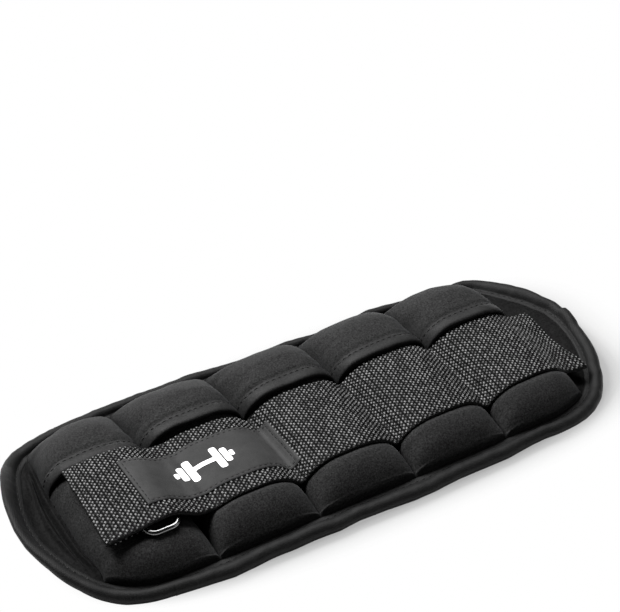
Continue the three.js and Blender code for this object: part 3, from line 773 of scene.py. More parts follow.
def flap_height(k, x, y):
    t = pocket_t(k, x, y)
    n = edge_n(x, y)
    ts = t + SKEW[k] * (1 - t * t)
    p = np.where((ts < 0) & (k == 1), 3.4, 3.1)
    p = np.where((ts > 0) & (k == 5), 3.6, p)
    yb = BAND_Y[k]
    base = lerp(7.4, 4.7, sm((y - yb - 9) / 10))
    crest = lerp(22.3 if k > 1 else 21.6, CREST_FLAP[k], sm((y - yb) / 17))
    wr = 0.6 * fnoise(x / 17, y / 15, 400 + k, 2)
    pucker = 0.5 * noise(y / 4.0, np.sign(t) * 2 + 0.3, 500 + k) * sm((np.abs(t) - 0.45) / 0.4) * sm((1 - np.abs(t)) / 0.06)
    gather = 0.4 * noise(x / 4.2, 0.4, 600 + k) * sm((20 - n) / 8) * sm((n - N_FOOT) / 2.5)
    z = base + (crest - base + wr) * crown(ts, p) * foot_rise(n, 31.0, 1.3) + pucker + gather
    return z, t, n


def side_normals(top):
    return normals_of(top)


def ridge_rim(z, n, amt=0.55):
    """A thin fold along the foot seam of a pocket."""
    return z + amt * np.exp(-((n - 9.75) / 0.42) ** 2)


def make_front(k):
    ys = np.concatenate([-55.0 + 17 * np.linspace(0, 1, 60) ** 1.5, np.linspace(-38, 21.5, 78)[1:]])
    X, Y = pocket_grid(k, ys)
    z, t, n = front_height(k, X, Y)
    z = ridge_rim(z, n)
    top = np.stack([X, Y, z], -1)
    low = top.copy()
    low[..., 2] = np.maximum(z - 1.7, 3.5)
    low[..., 2] = np.minimum(low[..., 2], z - 0.35)
    top, low = drape(top), drape(low)
    B = Build()
    shell(B, top, low, 0)
    ob = B.make(f"pocket_{k}_front", [M_NEO], sharp=70)
    finish_piece(ob, BODY[k], None, [f"pocket_front_{k}"])
    return ob


def make_flap(k):
    yb = BAND_Y[k]
    ys = np.concatenate([np.linspace(yb + 1.2, 37, 50), 37 + 18 * (1 - (1 - np.linspace(0, 1, 56)) ** 1.5)[1:]])
    X, Y = pocket_grid(k, ys)
    z, t, n = flap_height(k, X, Y)
    z = ridge_rim(z, n, 0.45)
    # a soft valley just behind the bound lip, where the stitching pulls the cloth down
    z = z - 0.5 * np.exp(-((Y - (yb + 7.4)) / 1.3) ** 2) * crown(t, 6)
    top = np.stack([X, Y, z], -1)
    low = top.copy()
    low[..., 2] = np.minimum(np.maximum(z - 1.9, 3.6), z - 0.35)
    top, low = drape(top), drape(low)
    B = Build()
    shell(B, top, low, 0)
    # bound lip: tape folded round the flap's edge
    nu = 120
    q = np.linspace(-1, 1, nu)
    q = np.sign(q) * (1 - (1 - np.abs(q)) ** 1.5)
    prof = [(-0.1, -1.2), (-0.45, -0.35), (-0.35, 0.45), (0.15, 0.95), (1.0, 1.22), (2.2, 1.30), (3.4, 1.22), (4.6, 1.0), (5.3, 0.72),
            (5.8, 0.42), (6.3, 0.55), (6.8, 0.72), (7.15, 0.55), (7.3, 0.15), (7.25, -0.6), (6.0, -2.3), (3.6, -2.45), (1.6, -2.35), (0.5, -1.9)]
    rings = []
    for (dy, dz) in prof:
        yy = np.full(nu, yb + dy)
        c = centre(k)
        L, R = c - 25.62, c + 25.62
        if k == 1:
            L = max(float(side_left(yb)), -200)
        if k == 5:
            R = float(side_right(yb))
        xx = np.where(q < 0, c + q * (c - L), c + q * (R - c))
        ysurf = np.maximum(yy, yb + 1.0)
        zz, tt, _ = flap_height(k, xx, ysurf)
        zz = zz + dz * (1 + 0.10 * noise(xx / 9, 0.5, 700 + k)) + 0.18 * noise(xx / 7, dy / 6, 710 + k)
        zz = zz - 0.5 * np.exp(-((yy - (yb + 7.4)) / 1.3) ** 2) * crown(tt, 6)
        # the lip sags forward and down in the middle of each pocket, and is drawn back at the seams
        yy = yy - 1.1 * (1 - tt * tt) + 0.9 * np.abs(tt) ** 6 + 0.3 * noise(xx / 13, 0.1, 720 + k)
        rings.append(np.stack([xx, yy, zz], -1))
    R3 = drape(np.stack(rings, 1))
    sweep(B, R3, 1, flip=False)
    # stitching in the groove behind the lip
    g = R3[:, 9, :]
    up = normals_of(R3[:, 7:12, :])[:, 2, :]
    up = np.where(up[:, 2:3] < 0, -up, up)
    stitches(B, g, up, 2, length=2.2, gap=0.95, r=0.30, sink=-0.02, seed=k)
    ob = B.make(f"pocket_{k}_flap", [M_NEO, M_LIP, M_THREAD], sharp=75)
    finish_piece(ob, BODY[k], None, [f"pocket_flap_{k}", f"flap_binding_{k}"])
    return ob


# ------------------------------------------------------------------ lining, seams, margins
def seam_ridge(x):
    d = np.min(np.abs(np.asarray(x)[..., None] - np.array(SEAMS)), axis=-1)
    return np.exp(-(d / 1.3) ** 2)


def lining_top(x, y):
    n = edge_n(x, y)
    up = lerp(2.5, 3.2, sm((13 - n) / 3))
    return up + 1.7 * seam_ridge(x) * sm((n - 9) / 3)


def lining_low(x, y):
    n = edge_n(x, y)
    z = 1.25 * sm((12.5 - n) / 3.5)
    dimple = 0.5 * np.exp(-((np.min(np.abs(np.asarray(x)[..., None] - np.array(SEAMS)), axis=-1)) / 0.9) ** 2) * sm((n - 9) / 3)
    return z + dimple


def declare_sheet(ob, X, Y):
    """Record the flat cut of a sheet from its lay-out grid, before it was bent and lifted."""
    w, l = float(np.ptp(Y)) / 1000, float(np.ptp(X)) / 1000
    a, b, c, d = [np.stack([X[i], Y[i]], -1) for i in
                  ((slice(None, -1), slice(None, -1)), (slice(1, None), slice(None, -1)), (slice(1, None), slice(1, None)), (slice(None, -1), slice(1, None)))]
    cr = (c - a)[..., 0] * (d - b)[..., 1] - (c - a)[..., 1] * (d - b)[..., 0]
    area_m2 = float(np.abs(cr).sum() / 2) * 1e-6
    FLAT[ob.name] = (round(w * 1000, 1), round(l * 1000, 1), round(area_m2 * 1e4, 1))


FLAT = {}


def make_lining(name, x0, x1, body, blend, nodes):
    N_IN = 6.2
    inner = max(min(abs(x0), abs(x1)), 0)
    B = Build()
    if blend:
        xs = np.unique(np.concatenate([np.linspace(x0, x1, 90)]))
        ys = np.linspace(-(HALF_W - N_IN), HALF_W - N_IN, 140)
        X, Y = np.meshgrid(xs, ys, indexing="ij")
    else:
        side = -1 if x0 < 0 else 1
        ys = np.sin(np.linspace(-math.pi / 2, math.pi / 2, 120)) * (HALF_W - N_IN) * 0.9999
        q = np.linspace(0, 1, 90)
        xin = x1 if side < 0 else x0
        Q, Y = np.meshgrid(q, ys, indexing="ij")
        xo = outline_x(Y, N_IN, side)
        X = lerp(xin, xo, Q) if side > 0 else lerp(xo, xin, Q)
    top = np.stack([X, Y, lining_top(X, Y)], -1)
    low = np.stack([X, Y, lining_low(X, Y)], -1)
    top, low = drape(top), drape(low)
    shell(B, top, low, 0)
    # the pocket seams' stitching shows on the back
    for s in SEAMS:
        if min(x0, x1) < s < max(x0, x1):
            for dx in (-0.0,):
                yy = np.linspace(-54, 54, 200)
                xx = np.full_like(yy, s + dx)
                p = np.stack([xx, yy, lining_low(xx, yy)], -1)
                stitches(B, drape(p), np.tile([0, 0, -1.0], (200, 1)), 1, length=2.4, gap=1.1, r=0.28, sink=0.0, seed=int(abs(s)))
    ob = B.make(name, [M_LIN, M_THREAD2], sharp=70)
    finish_piece(ob, body, blend, nodes)
    declare_sheet(ob, X, Y)
    return ob


def seg_ridge(x, y, fx, h, w, y0, y1):
    """A fold of height h and half width w along x = fx(y), fading out past y0 and y1."""
    d = (x - fx) / w
    return h * np.exp(-d * d) * sm((y - y0) / 9) * sm((y1 - y) / 9)


def margin_left_height(x, y):
    z = 4.6 + 0 * x
    n = edge_n(x, y)
    # shoulder that climbs to the pocket's side
    z = z + 3.4 * sm((x + 132) / 8)
    bow = np.minimum((np.maximum(np.abs(y + 2) - 12, 0) / 10.0) ** 2 * 0.3, 2.6)
    wob = 0.45 * noise(y / 12, 0.3, 63)
    A = side_left(y) - 2.3 + 0.5 * wob
    Bx = A - 4.6 + bow
    ends = sm((n - 10.0) / 7)
    z = z + ends * seg_ridge(x, y, A, 2.6, 1.5, -60, 50) * (0.75 + 0.5 * noise(y / 17, 0.7, 64) ** 2)
    z = z + ends * seg_ridge(x, y, Bx + 0.7 * wob, 2.4, 1.7, -58, 48)
    z = z - 0.9 * ends * np.exp(-((x - (A + Bx) / 2) / 1.0) ** 2)
    # dished between the folds and the binding
    z = z - 1.3 * np.exp(-((x + 139.5) / 4.0) ** 2) * sm((30 - np.abs(y)) / 18)
    z = z + 0.45 * fnoise(x / 9, y / 13, 61, 3) * sm((n - 9.5) / 3)
    return z


def margin_right_height(x, y):
    z = 4.6 + 0 * x
    n = edge_n(x, y)
    z = z + 3.0 * sm((131 - x) / 7)
    C = side_right(y) + 2.0
    D = C + 4.2 - 1.5 * sm((np.abs(y) - 30) / 18)
    ends = sm((n - 10.0) / 7)
    z = z + ends * seg_ridge(x, y, C, 2.6, 1.2, -58, 54) * (0.4 + 0.6 * sm((y + 5) / 15))
    z = z + ends * seg_ridge(x, y, D, 2.2, 1.2, 2, 50)
    z = z + 0.8 * fnoise(x / 6, y / 7, 62, 3) * sm((n - 9.5) / 3) * (0.5 + 0.5 * sm((-20 - y) / 12))
    # folded bit of cloth beside the strap's near edge
    z = z + 1.9 * np.exp(-(((x - 137) * 0.8 + (y + 44) * 0.5) / 1.5) ** 2) * np.exp(-(((y + 44) * 0.8 - (x - 137) * 0.5) / 6.5) ** 2)
    return z


def make_margin(name, side, body, nodes):
    NI = 8.6
    fn = margin_left_height if side < 0 else margin_right_height
    xin = -119.0 if side < 0 else 117.5
    ymax = 49.5
    ys = ymax * np.sin(np.linspace(-math.pi / 2, math.pi / 2, 150)) * 0.35 + np.linspace(-ymax, ymax, 150) * 0.65
    q = np.linspace(0, 1, 90)
    Q, Y = np.meshgrid(q, ys, indexing="ij")
    xo = outline_x(Y, NI, side)
    X = lerp(xin, xo, Q) if side > 0 else lerp(xo, xin, Q)
    z = fn(X, Y)
    n = edge_n(X, Y)
    z = lerp(3.9, z, sm((n - NI) / 3.0))
    # tucked under the end pocket's cloth
    k = 1 if side < 0 else 5
    cover = np.where(Y < BAND_Y[k] + 3, front_height(k, X, Y)[0], flap_height(k, X, Y)[0]) - 0.9
    under = (X > side_left(Y) + 0.1) if side < 0 else (X < side_right(Y) - 0.1)
    z = np.where(under, np.minimum(z, np.maximum(cover, 3.7)), z)
    top = np.stack([X, Y, z], -1)
    low = top.copy()
    low[..., 2] = np.clip(z - 1.4, 3.3, None)
    low[..., 2] = np.minimum(low[..., 2], z - 0.3)
    B = Build()
    shell(B, drape(top), drape(low), 0)
    ob = B.make(name, [M_MARG_SHADED], sharp=70)
    finish_piece(ob, body, None, nodes)
    declare_sheet(ob, X, Y)
    return ob


# ------------------------------------------------------------------ edge binding
PROFILE = [(9.0, 0.75), (9.1, 0.35), (8.6, 0.08), (7.2, 0.0), (5.6, 0.0), (4.2, 0.02), (3.0, 0.12), (1.9, 0.45), (1.0, 1.05), (0.38, 1.9), (0.05, 2.9),
           (0.05, 3.9), (0.4, 4.9), (1.05, 5.75), (1.95, 6.35), (3.0, 6.65), (4.05, 6.6), (5.0, 6.2), (5.75, 5.55), (6.2, 4.85), (6.5, 4.35),
           (6.95, 4.2), (7.6, 4.35), (8.4, 4.4), (8.95, 4.2), (9.1, 3.85), (8.8, 3.65), (7.5, 3.6), (5.4, 3.5), (5.2, 2.4), (5.4, 1.15), (7.5, 0.95)]


def edge_path(x0, x1, which):
    """Stations along the cuff's edge: list of (kind, parameter). which is near, far, ring or strap."""
    if which in ("near", "far"):
        m = int(abs(x1 - x0) / 0.9)
        return [("s", v) for v in np.linspace(x0, x1, m)]
    side = -1 if which == "ring" else 1
    out = []
    L = XR[side]
    m = int((L and abs(abs(x0) - L)) / 0.9) + 2
    out += [("s", v, -1) for v in np.linspace(x0, side * L, m)[:-1]]
    ph = np.linspace(-math.pi / 2, math.pi / 2, 240)
    out += [("a", v) for v in ph]
    out += [("s", v, 1) for v in np.linspace(side * L, x0, m)[1:]]
    return out


def make_binding(name, which, x0, x1, body, blend, nodes):
    path = edge_path(x0, x1, which)
    prof = np.array(PROFILE)
    npf = len(prof)
    R3 = np.zeros((len(path), npf, 3))
    side = -1 if which == "ring" else 1
    for i, st in enumerate(path):
        n = prof[:, 0]
        if st[0] == "s":
            sg = {"near": -1, "far": 1}.get(which) or st[2]
            x = np.full(npf, st[1])
            y = sg * (HALF_W - n)
        else:
            c, s = math.cos(st[1]), math.sin(st[1])
            x = side * (XR[side] + (END_R - n) * c)
            y = (HALF_W - n) * math.copysign(abs(s) ** (2 / 3), s)
        R3[i, :, 0], R3[i, :, 1], R3[i, :, 2] = x, y, prof[:, 1]
    # arc length at the outside of the roll, measured from the same origin for every piece
    mid = R3[:, 15, :]
    s = np.concatenate([[0], np.cumsum(np.linalg.norm(np.diff(mid, axis=0), axis=1))])
    if which in ("near", "far"):
        s = R3[:, 0, 0] + (1000 if which == "far" else 0)
    roll = sm((6.9 - prof[:, 0]) / 1.2)[None, :] * np.clip(prof[:, 1] / 5, 0, 1)[None, :]
    th = np.arctan2(prof[:, 1] - 3.2, 3.3 - prof[:, 0])
    wob = 0.42 * noise(s / 15, 0.5, 21)[:, None] + 0.2 * noise(s / 4.5, 0.5, 22)[:, None]
    key = np.where(np.abs(R3[:, 15:16, 0]) < 103.01, R3[:, 15:16, 0], R3[:, 15:16, 0])
    wx = R3[:, 15, 0] / 15
    wy = np.sign(R3[:, 15, 1]) * 3 + R3[:, 15, 1] / 40
    wob = (0.5 * noise(wx, wy, 21) + 0.22 * noise(wx * 3.3, wy * 2.2, 22))[:, None]
    R3[:, :, 2] += roll * wob * 0.8
    lean = (0.55 * noise(wx * 0.7, wy, 23) + 0.2 * noise(wx * 3.1, wy * 2.4, 25))[:, None] * sm((prof[:, 1] - 1.0) / 3)[None, :] * sm((7.2 - prof[:, 0]) / 1.5)[None, :]
    # fine twist wrinkles of the tape, leaning across the roll
    tw = 0.10 * noise((R3[:, :, 0] + 0.6 * R3[:, :, 1]) / 2.1, th[None, :] * 1.1, 24)
    R3[:, :, 2] += roll * tw
    cx, cy = R3[:, 15, 0], R3[:, 15, 1]
    # move in the plane, along the inward direction
    inw = R3[:, 20, :2] - R3[:, 10, :2]
    inw /= np.linalg.norm(inw, axis=1, keepdims=True)
    R3[:, :, 0] += lean * inw[:, 0:1]
    R3[:, :, 1] += lean * inw[:, 1:2]
    if which == "strap":
        # where the tape's two ends lap: a thicker stretch with a step
        px, py = 154.0, -1.0
        d = (R3[:, 15, 0] - px) * (-inw[:, 1]) + (R3[:, 15, 1] - py) * inw[:, 0]
        near = np.hypot(R3[:, 15, 0] - px, R3[:, 15, 1] - py) < 18
        bump = np.where(near, sm((6.5 - d) / 5) * sm((6.5 + d) / 0.9), 0)[:, None]
        R3[:, :, 2] += roll * bump * 1.1
        R3[:, :, 0] -= bump * 0.5 * roll * inw[:, 0:1]
        R3[:, :, 1] -= bump * 0.5 * roll * inw[:, 1:2]
    D = drape(R3)
    B = Build()
    flip = which in ("near",) or (which == "strap")
    sweep(B, D, 0, flip=(which in ("far", "ring")))
    # stitching in the groove inside the roll, and on the underside lip
    g = D[:, 21, :]
    up = np.tile([0, 0, 1.0], (len(g), 1))
    stitches(B, g, up, 1, length=2.3, gap=1.1, r=0.24, sink=0.08, seed=71)
    g2 = (D[:, 3, :] + D[:, 2, :]) / 2
    stitches(B, g2, -up, 1, length=2.3, gap=1.1, r=0.27, sink=0.06, seed=72)
    ob = B.make(name, [M_TAPE, M_THREAD], sharp=80)
    finish_piece(ob, body, blend, nodes)
    return ob


# ------------------------------------------------------------------ label and emblem
LY0, LY1 = -29.6, 2.0
LX0, LX1 = -98.2, -20.6


def label_z(x, y):
    z = strap_mid(x, y)
    z = z + 0.55
    return z + 0.12 * fnoise(x / 7, y / 7, 91, 2)


_lx = np.arange(LX0 - 2, LX1 + 2, 0.2)


def label_surface(X, Y, h=0.0):
    """Label point at flat place X, Y and height h above the label's top."""
    P = np.stack([X, Y, label_z(X, Y)], -1)
    return P + np.array([0, 0, 1.0]) * h


def make_label(name, x0, x1, blend, nodes):
    nu = int((x1 - x0) / 0.45)
    xs = np.linspace(x0, x1, nu)
    ys = np.linspace(LY0, LY1, 80)
    X, Y = np.meshgrid(xs, ys, indexing="ij")
    # rounded corners at the label's own ends
    dx = np.minimum(X - LX0, LX1 - X)
    dy = np.minimum(Y - LY0, LY1 - Y)
    d = np.minimum(dx, dy)
    z = label_z(X, Y)
    edge = 0.42 * (1 - sm(d / 1.1)) + 0.2 * np.exp(-((d - 1.7) / 0.35) ** 2) + 0.06 * np.exp(-((d - 1.7) / 1.2) ** 2)
    Yd = Y + 0.12 * noise(X / 2.6, np.sign(Y + 14), 92) * sm((1.5 - dy) / 1.5)
    top = np.stack([X, Yd, z + 0.42 - edge], -1)
    low = np.stack([X, Yd, z - 0.35], -1)
    B = Build()
    shell(B, top, low, 0)
    up = lambda m: np.tile([0, 0, 1.0], (m, 1))

    def line(xa, ya, xb, yb):
        m = max(int(math.hypot(xb - xa, yb - ya) / 0.5), 3)
        X1, Y1 = np.linspace(xa, xb, m), np.linspace(ya, yb, m)
        return np.stack([X1, Y1, label_z(X1, Y1) + 0.42 - 0.38], -1)
    for yy in (LY0 + 1.7, LY1 - 1.7):
        p = line(max(x0, LX0 + 1.7), yy, min(x1, LX1 - 1.7), yy)
        stitches(B, p, up(len(p)), 1, length=1.9, gap=0.8, r=0.22, sink=-0.08, seed=81)
    if x0 <= LX0 + 0.1:
        p = line(LX0 + 1.7, LY0 + 1.7, LX0 + 1.7, LY1 - 1.7)
        stitches(B, p, up(len(p)), 1, length=1.9, gap=0.8, r=0.22, sink=-0.08, seed=82)
    if x1 >= LX1 - 0.1:
        p = line(LX1 - 1.7, LY0 + 1.7, LX1 - 1.7, LY1 - 1.7)
        stitches(B, p, up(len(p)), 1, length=1.9, gap=0.8, r=0.22, sink=-0.08, seed=83)
    ob = B.make(name, [M_LABEL, M_THREAD], sharp=80)
    finish_piece(ob, None, blend, nodes)
    return ob


def rounded_bar(B, cx, cy, w, h, ang=0.0, rad=0.35):
    nu, nv = max(int(w / 0.6), 6), max(int(h / 0.6), 6)
    a, b = np.meshgrid(np.linspace(-1, 1, nu), np.linspace(-1, 1, nv), indexing="ij")
    r = min(w, h) * rad
    # squeeze the corners in to round them
    ex, ey = np.maximum(np.abs(a) * w / 2 - (w / 2 - r), 0) / r, np.maximum(np.abs(b) * h / 2 - (h / 2 - r), 0) / r
    m = np.maximum(ex, ey)
    rr = np.hypot(ex, ey)
    f = np.where(rr > 1e-6, m / np.maximum(rr, 1e-6), 1)
    X = np.sign(a) * (np.abs(a) * w / 2 - ex * r + ex * f * r)
    Y = np.sign(b) * (np.abs(b) * h / 2 - ey * r + ey * f * r)
    c, s = math.cos(ang), math.sin(ang)
    X, Y = cx + X * c - Y * s, cy + X * s + Y * c
    z = label_z(X, Y) + 0.42
    top = np.stack([X, Y, z + 0.10], -1)
    low = np.stack([X, Y, z - 0.15], -1)
    shell(B, top, low, 0)


def make_emblem():
    """A plain dumbbell sign, no lettering."""
    cx, cy = -62.0, -13.8
    B = Build()
    rounded_bar(B, cx, cy, 10.8, 2.5, 0, 0.12)
    for sgn in (-1, 1):
        rounded_bar(B, cx + sgn * 7.0, cy, 3.5, 14.4)
        rounded_bar(B, cx + sgn * 11.1, cy, 3.1, 9.6)
        rounded_bar(B, cx + sgn * 14.1, cy, 1.9, 3.6, 0, 0.3)
    return B


def split_emblem():
    # the emblem lies wholly on the second pocket's stretch of label, past the peel line
    B = make_emblem()
    return B.make("label_emblem", [M_WHITE], sharp=60)


# ------------------------------------------------------------------ ring, its tab, hook patch
def tube(B, pts, r, mat, closed=True, seg=20, att=None):
    pts = np.asarray(pts, float)
    m = len(pts)
    t = np.roll(pts, -1, 0) - np.roll(pts, 1, 0)
    t /= np.linalg.norm(t, axis=1, keepdims=True)
    up = np.tile([0, 0, 1.0], (m, 1))
    side = np.cross(t, up)
    side /= np.linalg.norm(side, axis=1, keepdims=True)
    up = np.cross(side, t)
    an = np.linspace(0, 2 * math.pi, seg, endpoint=False)
    ring = pts[:, None, :] + r * (np.cos(an)[None, :, None] * side[:, None, :] + np.sin(an)[None, :, None] * up[:, None, :])
    nv = seg
    i, j = np.meshgrid(np.arange(m), np.arange(nv), indexing="ij")
    f = np.stack([i * nv + j, ((i + 1) % m) * nv + j, ((i + 1) % m) * nv + (j + 1) % nv, i * nv + (j + 1) % nv], -1).reshape(-1, 4)
    B.add(ring.reshape(-1, 3), [f], mat)


def make_ring():
    x0, x1, y0, y1, z, rc = -104.1, -89.1, -42.0, 12.4, 20.95, 4.2
    pts = []
    for (cx, cy, a0) in ((x1 - rc, y0 + rc, -90), (x1 - rc, y1 - rc, 0), (x0 + rc, y1 - rc, 90), (x0 + rc, y0 + rc, 180)):
        for a in np.linspace(a0, a0 + 90, 14):
            pts.append((cx + rc * math.cos(math.radians(a)), cy + rc * math.sin(math.radians(a)), z))
    pts = np.array(pts)
    out = []
    for i in range(len(pts)):
        a, b = pts[i], pts[(i + 1) % len(pts)]
        m = max(int(np.linalg.norm(b - a) / 1.5), 1)
        for q in range(m):
            out.append(lerp(a, b, q / m))
    B = Build()
    tube(B, out, 1.3, 0)
    ob = B.make("ring_wire", [M_STEEL])
    finish_piece(ob, "ring", None, ["ring"])
    return ob


def make_tab():
    """The webbing loop that holds the ring: round the bar, then flat to the left, sewn down."""
    cx, cz, r = -104.1, 20.95, 1.62
    th = 0.85
    path = []
    for a in np.linspace(-90, 90, 20):                     # round the left bar, open to the left
        path.append((cx + r * math.cos(math.radians(a)), cz + r * math.sin(math.radians(a))))
    top = path[::-1]
    centre_line = [(-118.6, 18.15), (-116, 18.5), (-112, 18.95), (-109, 19.2)]
    low = [(x, z - 0.0) for x, z in centre_line]
    up = [(x, z + 1.1) for x, z in centre_line]
    pts = up + [(cx + r * math.cos(math.radians(a)), cz + r * math.sin(math.radians(a))) for a in np.linspace(90, -90, 18)] + low[::-1]
    pts = np.array(pts)
    s = np.concatenate([[0], np.cumsum(np.hypot(*np.diff(pts, axis=0).T))])
    q = np.arange(0, s[-1], 0.45)
    px, pz = np.interp(q, s, pts[:, 0]), np.interp(q, s, pts[:, 1])
    k = np.array([1, 2, 3, 2, 1.0])
    k /= k.sum()
    px = np.convolve(np.pad(px, 2, mode="edge"), k, "valid")
    pz = np.convolve(np.pad(pz, 2, mode="edge"), k, "valid")
    ys = np.linspace(-36.5, 7.0, 110)
    P = np.stack([np.repeat(px[:, None], 110, 1), np.repeat(ys[None], len(px), 0), np.repeat(pz[:, None], 110, 1)], -1)
    N = normals_of(P)
    h = weave(np.repeat(q[:, None], 110, 1), np.repeat(ys[None], len(px), 0))
    out = P + N * (0.22 * h + 0.1)[..., None]
    inn = P - N * 0.35
    # third value is yarn height, which the webbing material turns into painted highlight on tops and painted shade in
    # the gaps
    att = np.stack([np.repeat(q[:, None], 110, 1), np.repeat(ys[None], len(px), 0), h], -1)
    B = Build()
    shell(B, out, inn, 0, att)
    ob = B.make("ring_tab_webbing", [M_WEB], sharp=70)
    finish_piece(ob, "panel_1", None, ["ring_tab"])
    return ob


def make_hook():
    x = np.linspace(-119.5, -93, 70)
    y = np.linspace(-36.5, 9.8, 110)
    X, Y = np.meshgrid(x, y, indexing="ij")
    zt = strap_mid(X, Y) - STRAP_T - 0.05
    d = np.minimum(np.minimum(X - x[0], x[-1] - X), np.minimum(Y - y[0], y[-1] - Y))
    bristle = 0.22 * (0.5 + 0.5 * np.sin(X * 4.2) * np.sin(Y * 4.6)) * sm(d / 1.2)
    low = np.stack([X, Y, zt - 0.55 - bristle], -1)
    top = np.stack([X, Y, zt], -1)
    B = Build()
    shell(B, top, low, 0)
    ob = B.make("hook_tape_patch", [M_HOOK], sharp=60)
    finish_piece(ob, "strap_tail", None, ["hook_patch"])
    return ob


# ------------------------------------------------------------------ build everything
for k in range(1, 6):
    make_front(k)
    make_flap(k)

BL = {1: ("panel_2", "panel_1", -77.25 + 9, -77.25 - 9), 2: ("panel_3", "panel_2", -25.75 + 9, -25.75 - 9),
      3: ("panel_3", "panel_4", 25.75 - 9, 25.75 + 9), 4: ("panel_4", "panel_5", 77.25 - 9, 77.25 + 9)}


def lining_end(name, side, body, nodes):
    NI = 6.2
    xin = side * 103.0
    hw = HALF_W - NI
    ysn = hw * np.sin(np.linspace(-math.pi / 2, math.pi / 2, 130))
    m = 90
    q = np.linspace(0, 1, m)
    Q, Y = np.meshgrid(q, ysn, indexing="ij")
    # y range shrinks to where the outline crosses x = 103
    xo = outline_x(Y, NI, side)
    ok = side * xo > 103.2
    ymax = np.abs(Y[ok]).max()
    ysn = ymax * np.sin(np.linspace(-math.pi / 2, math.pi / 2, 130))
    Q, Y = np.meshgrid(q, ysn, indexing="ij")
    xo = outline_x(Y, NI, side)
    X = lerp(xin, xo, Q) if side > 0 else lerp(xo, xin, Q)
    B = Build()
    shell(B, drape(np.stack([X, Y, lining_top(X, Y)], -1)), drape(np.stack([X, Y, lining_low(X, Y)], -1)), 0)
    ob = B.make(name, [M_LIN, M_THREAD2], sharp=70)
    finish_piece(ob, body, None, nodes)
    declare_sheet(ob, X, Y)
    return ob


lining_end("lining_ring_end", -1, "panel_1", ["lining_1"])
make_lining("lining_12", -103, -51.5, None, BL[1], ["lining_2"])
make_lining("lining_23", -51.5, 0, None, BL[2], ["lining_3"])
make_lining("lining_34", 0, 51.5, None, BL[3], ["lining_4"])
make_lining("lining_45", 51.5, 103, None, BL[4], [])
lining_end("lining_strap_end", 1, "panel_5", ["lining_5"])

make_margin("margin_ring_end", -1, "panel_1", ["margin_cover_ring"])
make_margin("margin_strap_end", 1, "panel_5", ["margin_cover_strap"])

make_binding("binding_ring_end", "ring", -103, 0, "panel_1", None, ["binding_end_ring"])
make_binding("binding_strap_end", "strap", 103, 0, "panel_5", None, ["binding_end_strap"])
for i, (a, b) in {1: (-103, -51.5), 2: (-51.5, 0), 3: (0, 51.5), 4: (51.5, 103)}.items():
    nn = {1: ["binding_near_2"], 2: ["binding_near_3"], 3: ["binding_near_4"], 4: []}[i]
    nf = {1: ["binding_far_2"], 2: ["binding_far_3"], 3: ["binding_far_4"], 4: []}[i]
    make_binding(f"binding_near_{i}{i + 1}", "near", a, b, None, BL[i], nn)
    make_binding(f"binding_far_{i}{i + 1}", "far", a, b, None, BL[i], nf)

TAIL = ("panel_2", "strap_tail", -74.5, -80.5)
strap_piece("strap_tail_webbing", -122.2, -51.5, None, TAIL, ["strap_tail"])
strap_piece("strap_webbing_23", -51.5, 0.0, None, ("panel_3", "panel_2", -25.75 + 7, -25.75 - 7), ["strap_2"])
strap_piece("strap_webbing_34", 0.0, 51.5, None, ("panel_3", "panel_4", 25.75 - 7, 25.75 + 7), ["strap_3"])
strap_piece("strap_webbing_45", 51.5, 103.0, None, ("panel_4", "panel_5", 77.25 - 7, 77.25 + 7), ["strap_4"])
strap_piece("strap_webbing_root", 103.0, 136.4, "panel_5", None, ["strap_root"])

make_label("label_tail_half", LX0, -51.5, TAIL, ["label_end"])
make_label("label_seam_half", -51.5, LX1, ("panel_3", "panel_2", -25.75 + 7, -25.75 - 7), ["label_main"])
emblem = split_emblem()
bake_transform(emblem)

make_ring()
make_tab()
make_hook()

# bags and their fill stay as the CAD has them, inside the pockets
for k in range(1, 6):
    for node, mat in ((f"bag_skin_{k}", M_BAG), (f"sand_fill_{k}", M_SAND)):
        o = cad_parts[node]
        o.data.materials.clear()
        o.data.materials.append(mat)

# ------------------------------------------------------------------ camera, light, floor
scene = bpy.context.scene
scene.view_settings.view_transform = "Standard"
scene.view_settings.look = "None"
cam_data = bpy.data.cameras.new("camera")
cam = bpy.data.objects.new("camera", cam_data)
scene.collection.objects.link(cam)
scene.camera = cam
cam_data.lens = 110.3
cam_data.sensor_width = 36.0
cam_data.dof.use_dof = False
cam_data.clip_start, cam_data.clip_end = 0.01, 20
eye = Vector((-0.3563, -0.5825, 0.5979))
fwd = Vector((0.414, 0.678, -0.607)).normalized()
cam.rotation_mode = "QUATERNION"
cam.location = eye
from mathutils import Quaternion
q = fwd.to_track_quat("-Z", "Y")
cam.rotation_quaternion = q @ Quaternion((0, 0, 1), math.radians(0.2))


def area(name, loc, target, size, power, size_y=None, spread=180):
    d = bpy.data.lights.new(name, "AREA")
    d.energy = power
    d.size = size
    if size_y:
        d.shape = "RECTANGLE"
        d.size_y = size_y
    d.spread = math.radians(spread)
    o = bpy.data.objects.new(name, d)
    scene.collection.objects.link(o)
    o.location = loc
    o.rotation_mode = "QUATERNION"
    o.rotation_quaternion = (Vector(target) - Vector(loc)).to_track_quat("-Z", "Y")
    o.visible_camera = False
    return o


area("key_softbox", (-0.40, 0.66, 0.95), (0, 0, 0), 0.5, 38, 0.5)
area("top_softbox", (0.30, 0.55, 1.05), (0, 0, 0), 0.5, 20, 0.5)
area("fill_near", (0.8, -0.6, 0.6), (0, 0, 0), 0.8, 2.6, 0.8)
# below the floor, where they reach nothing until the panels are curled under
area("under_left", (-0.55, -0.45, -0.75), (0, 0, -0.05), 0.6, 22, 0.6)
area("under_right", (0.65, 0.35, -0.7), (0, 0, -0.05), 0.6, 14, 0.6)

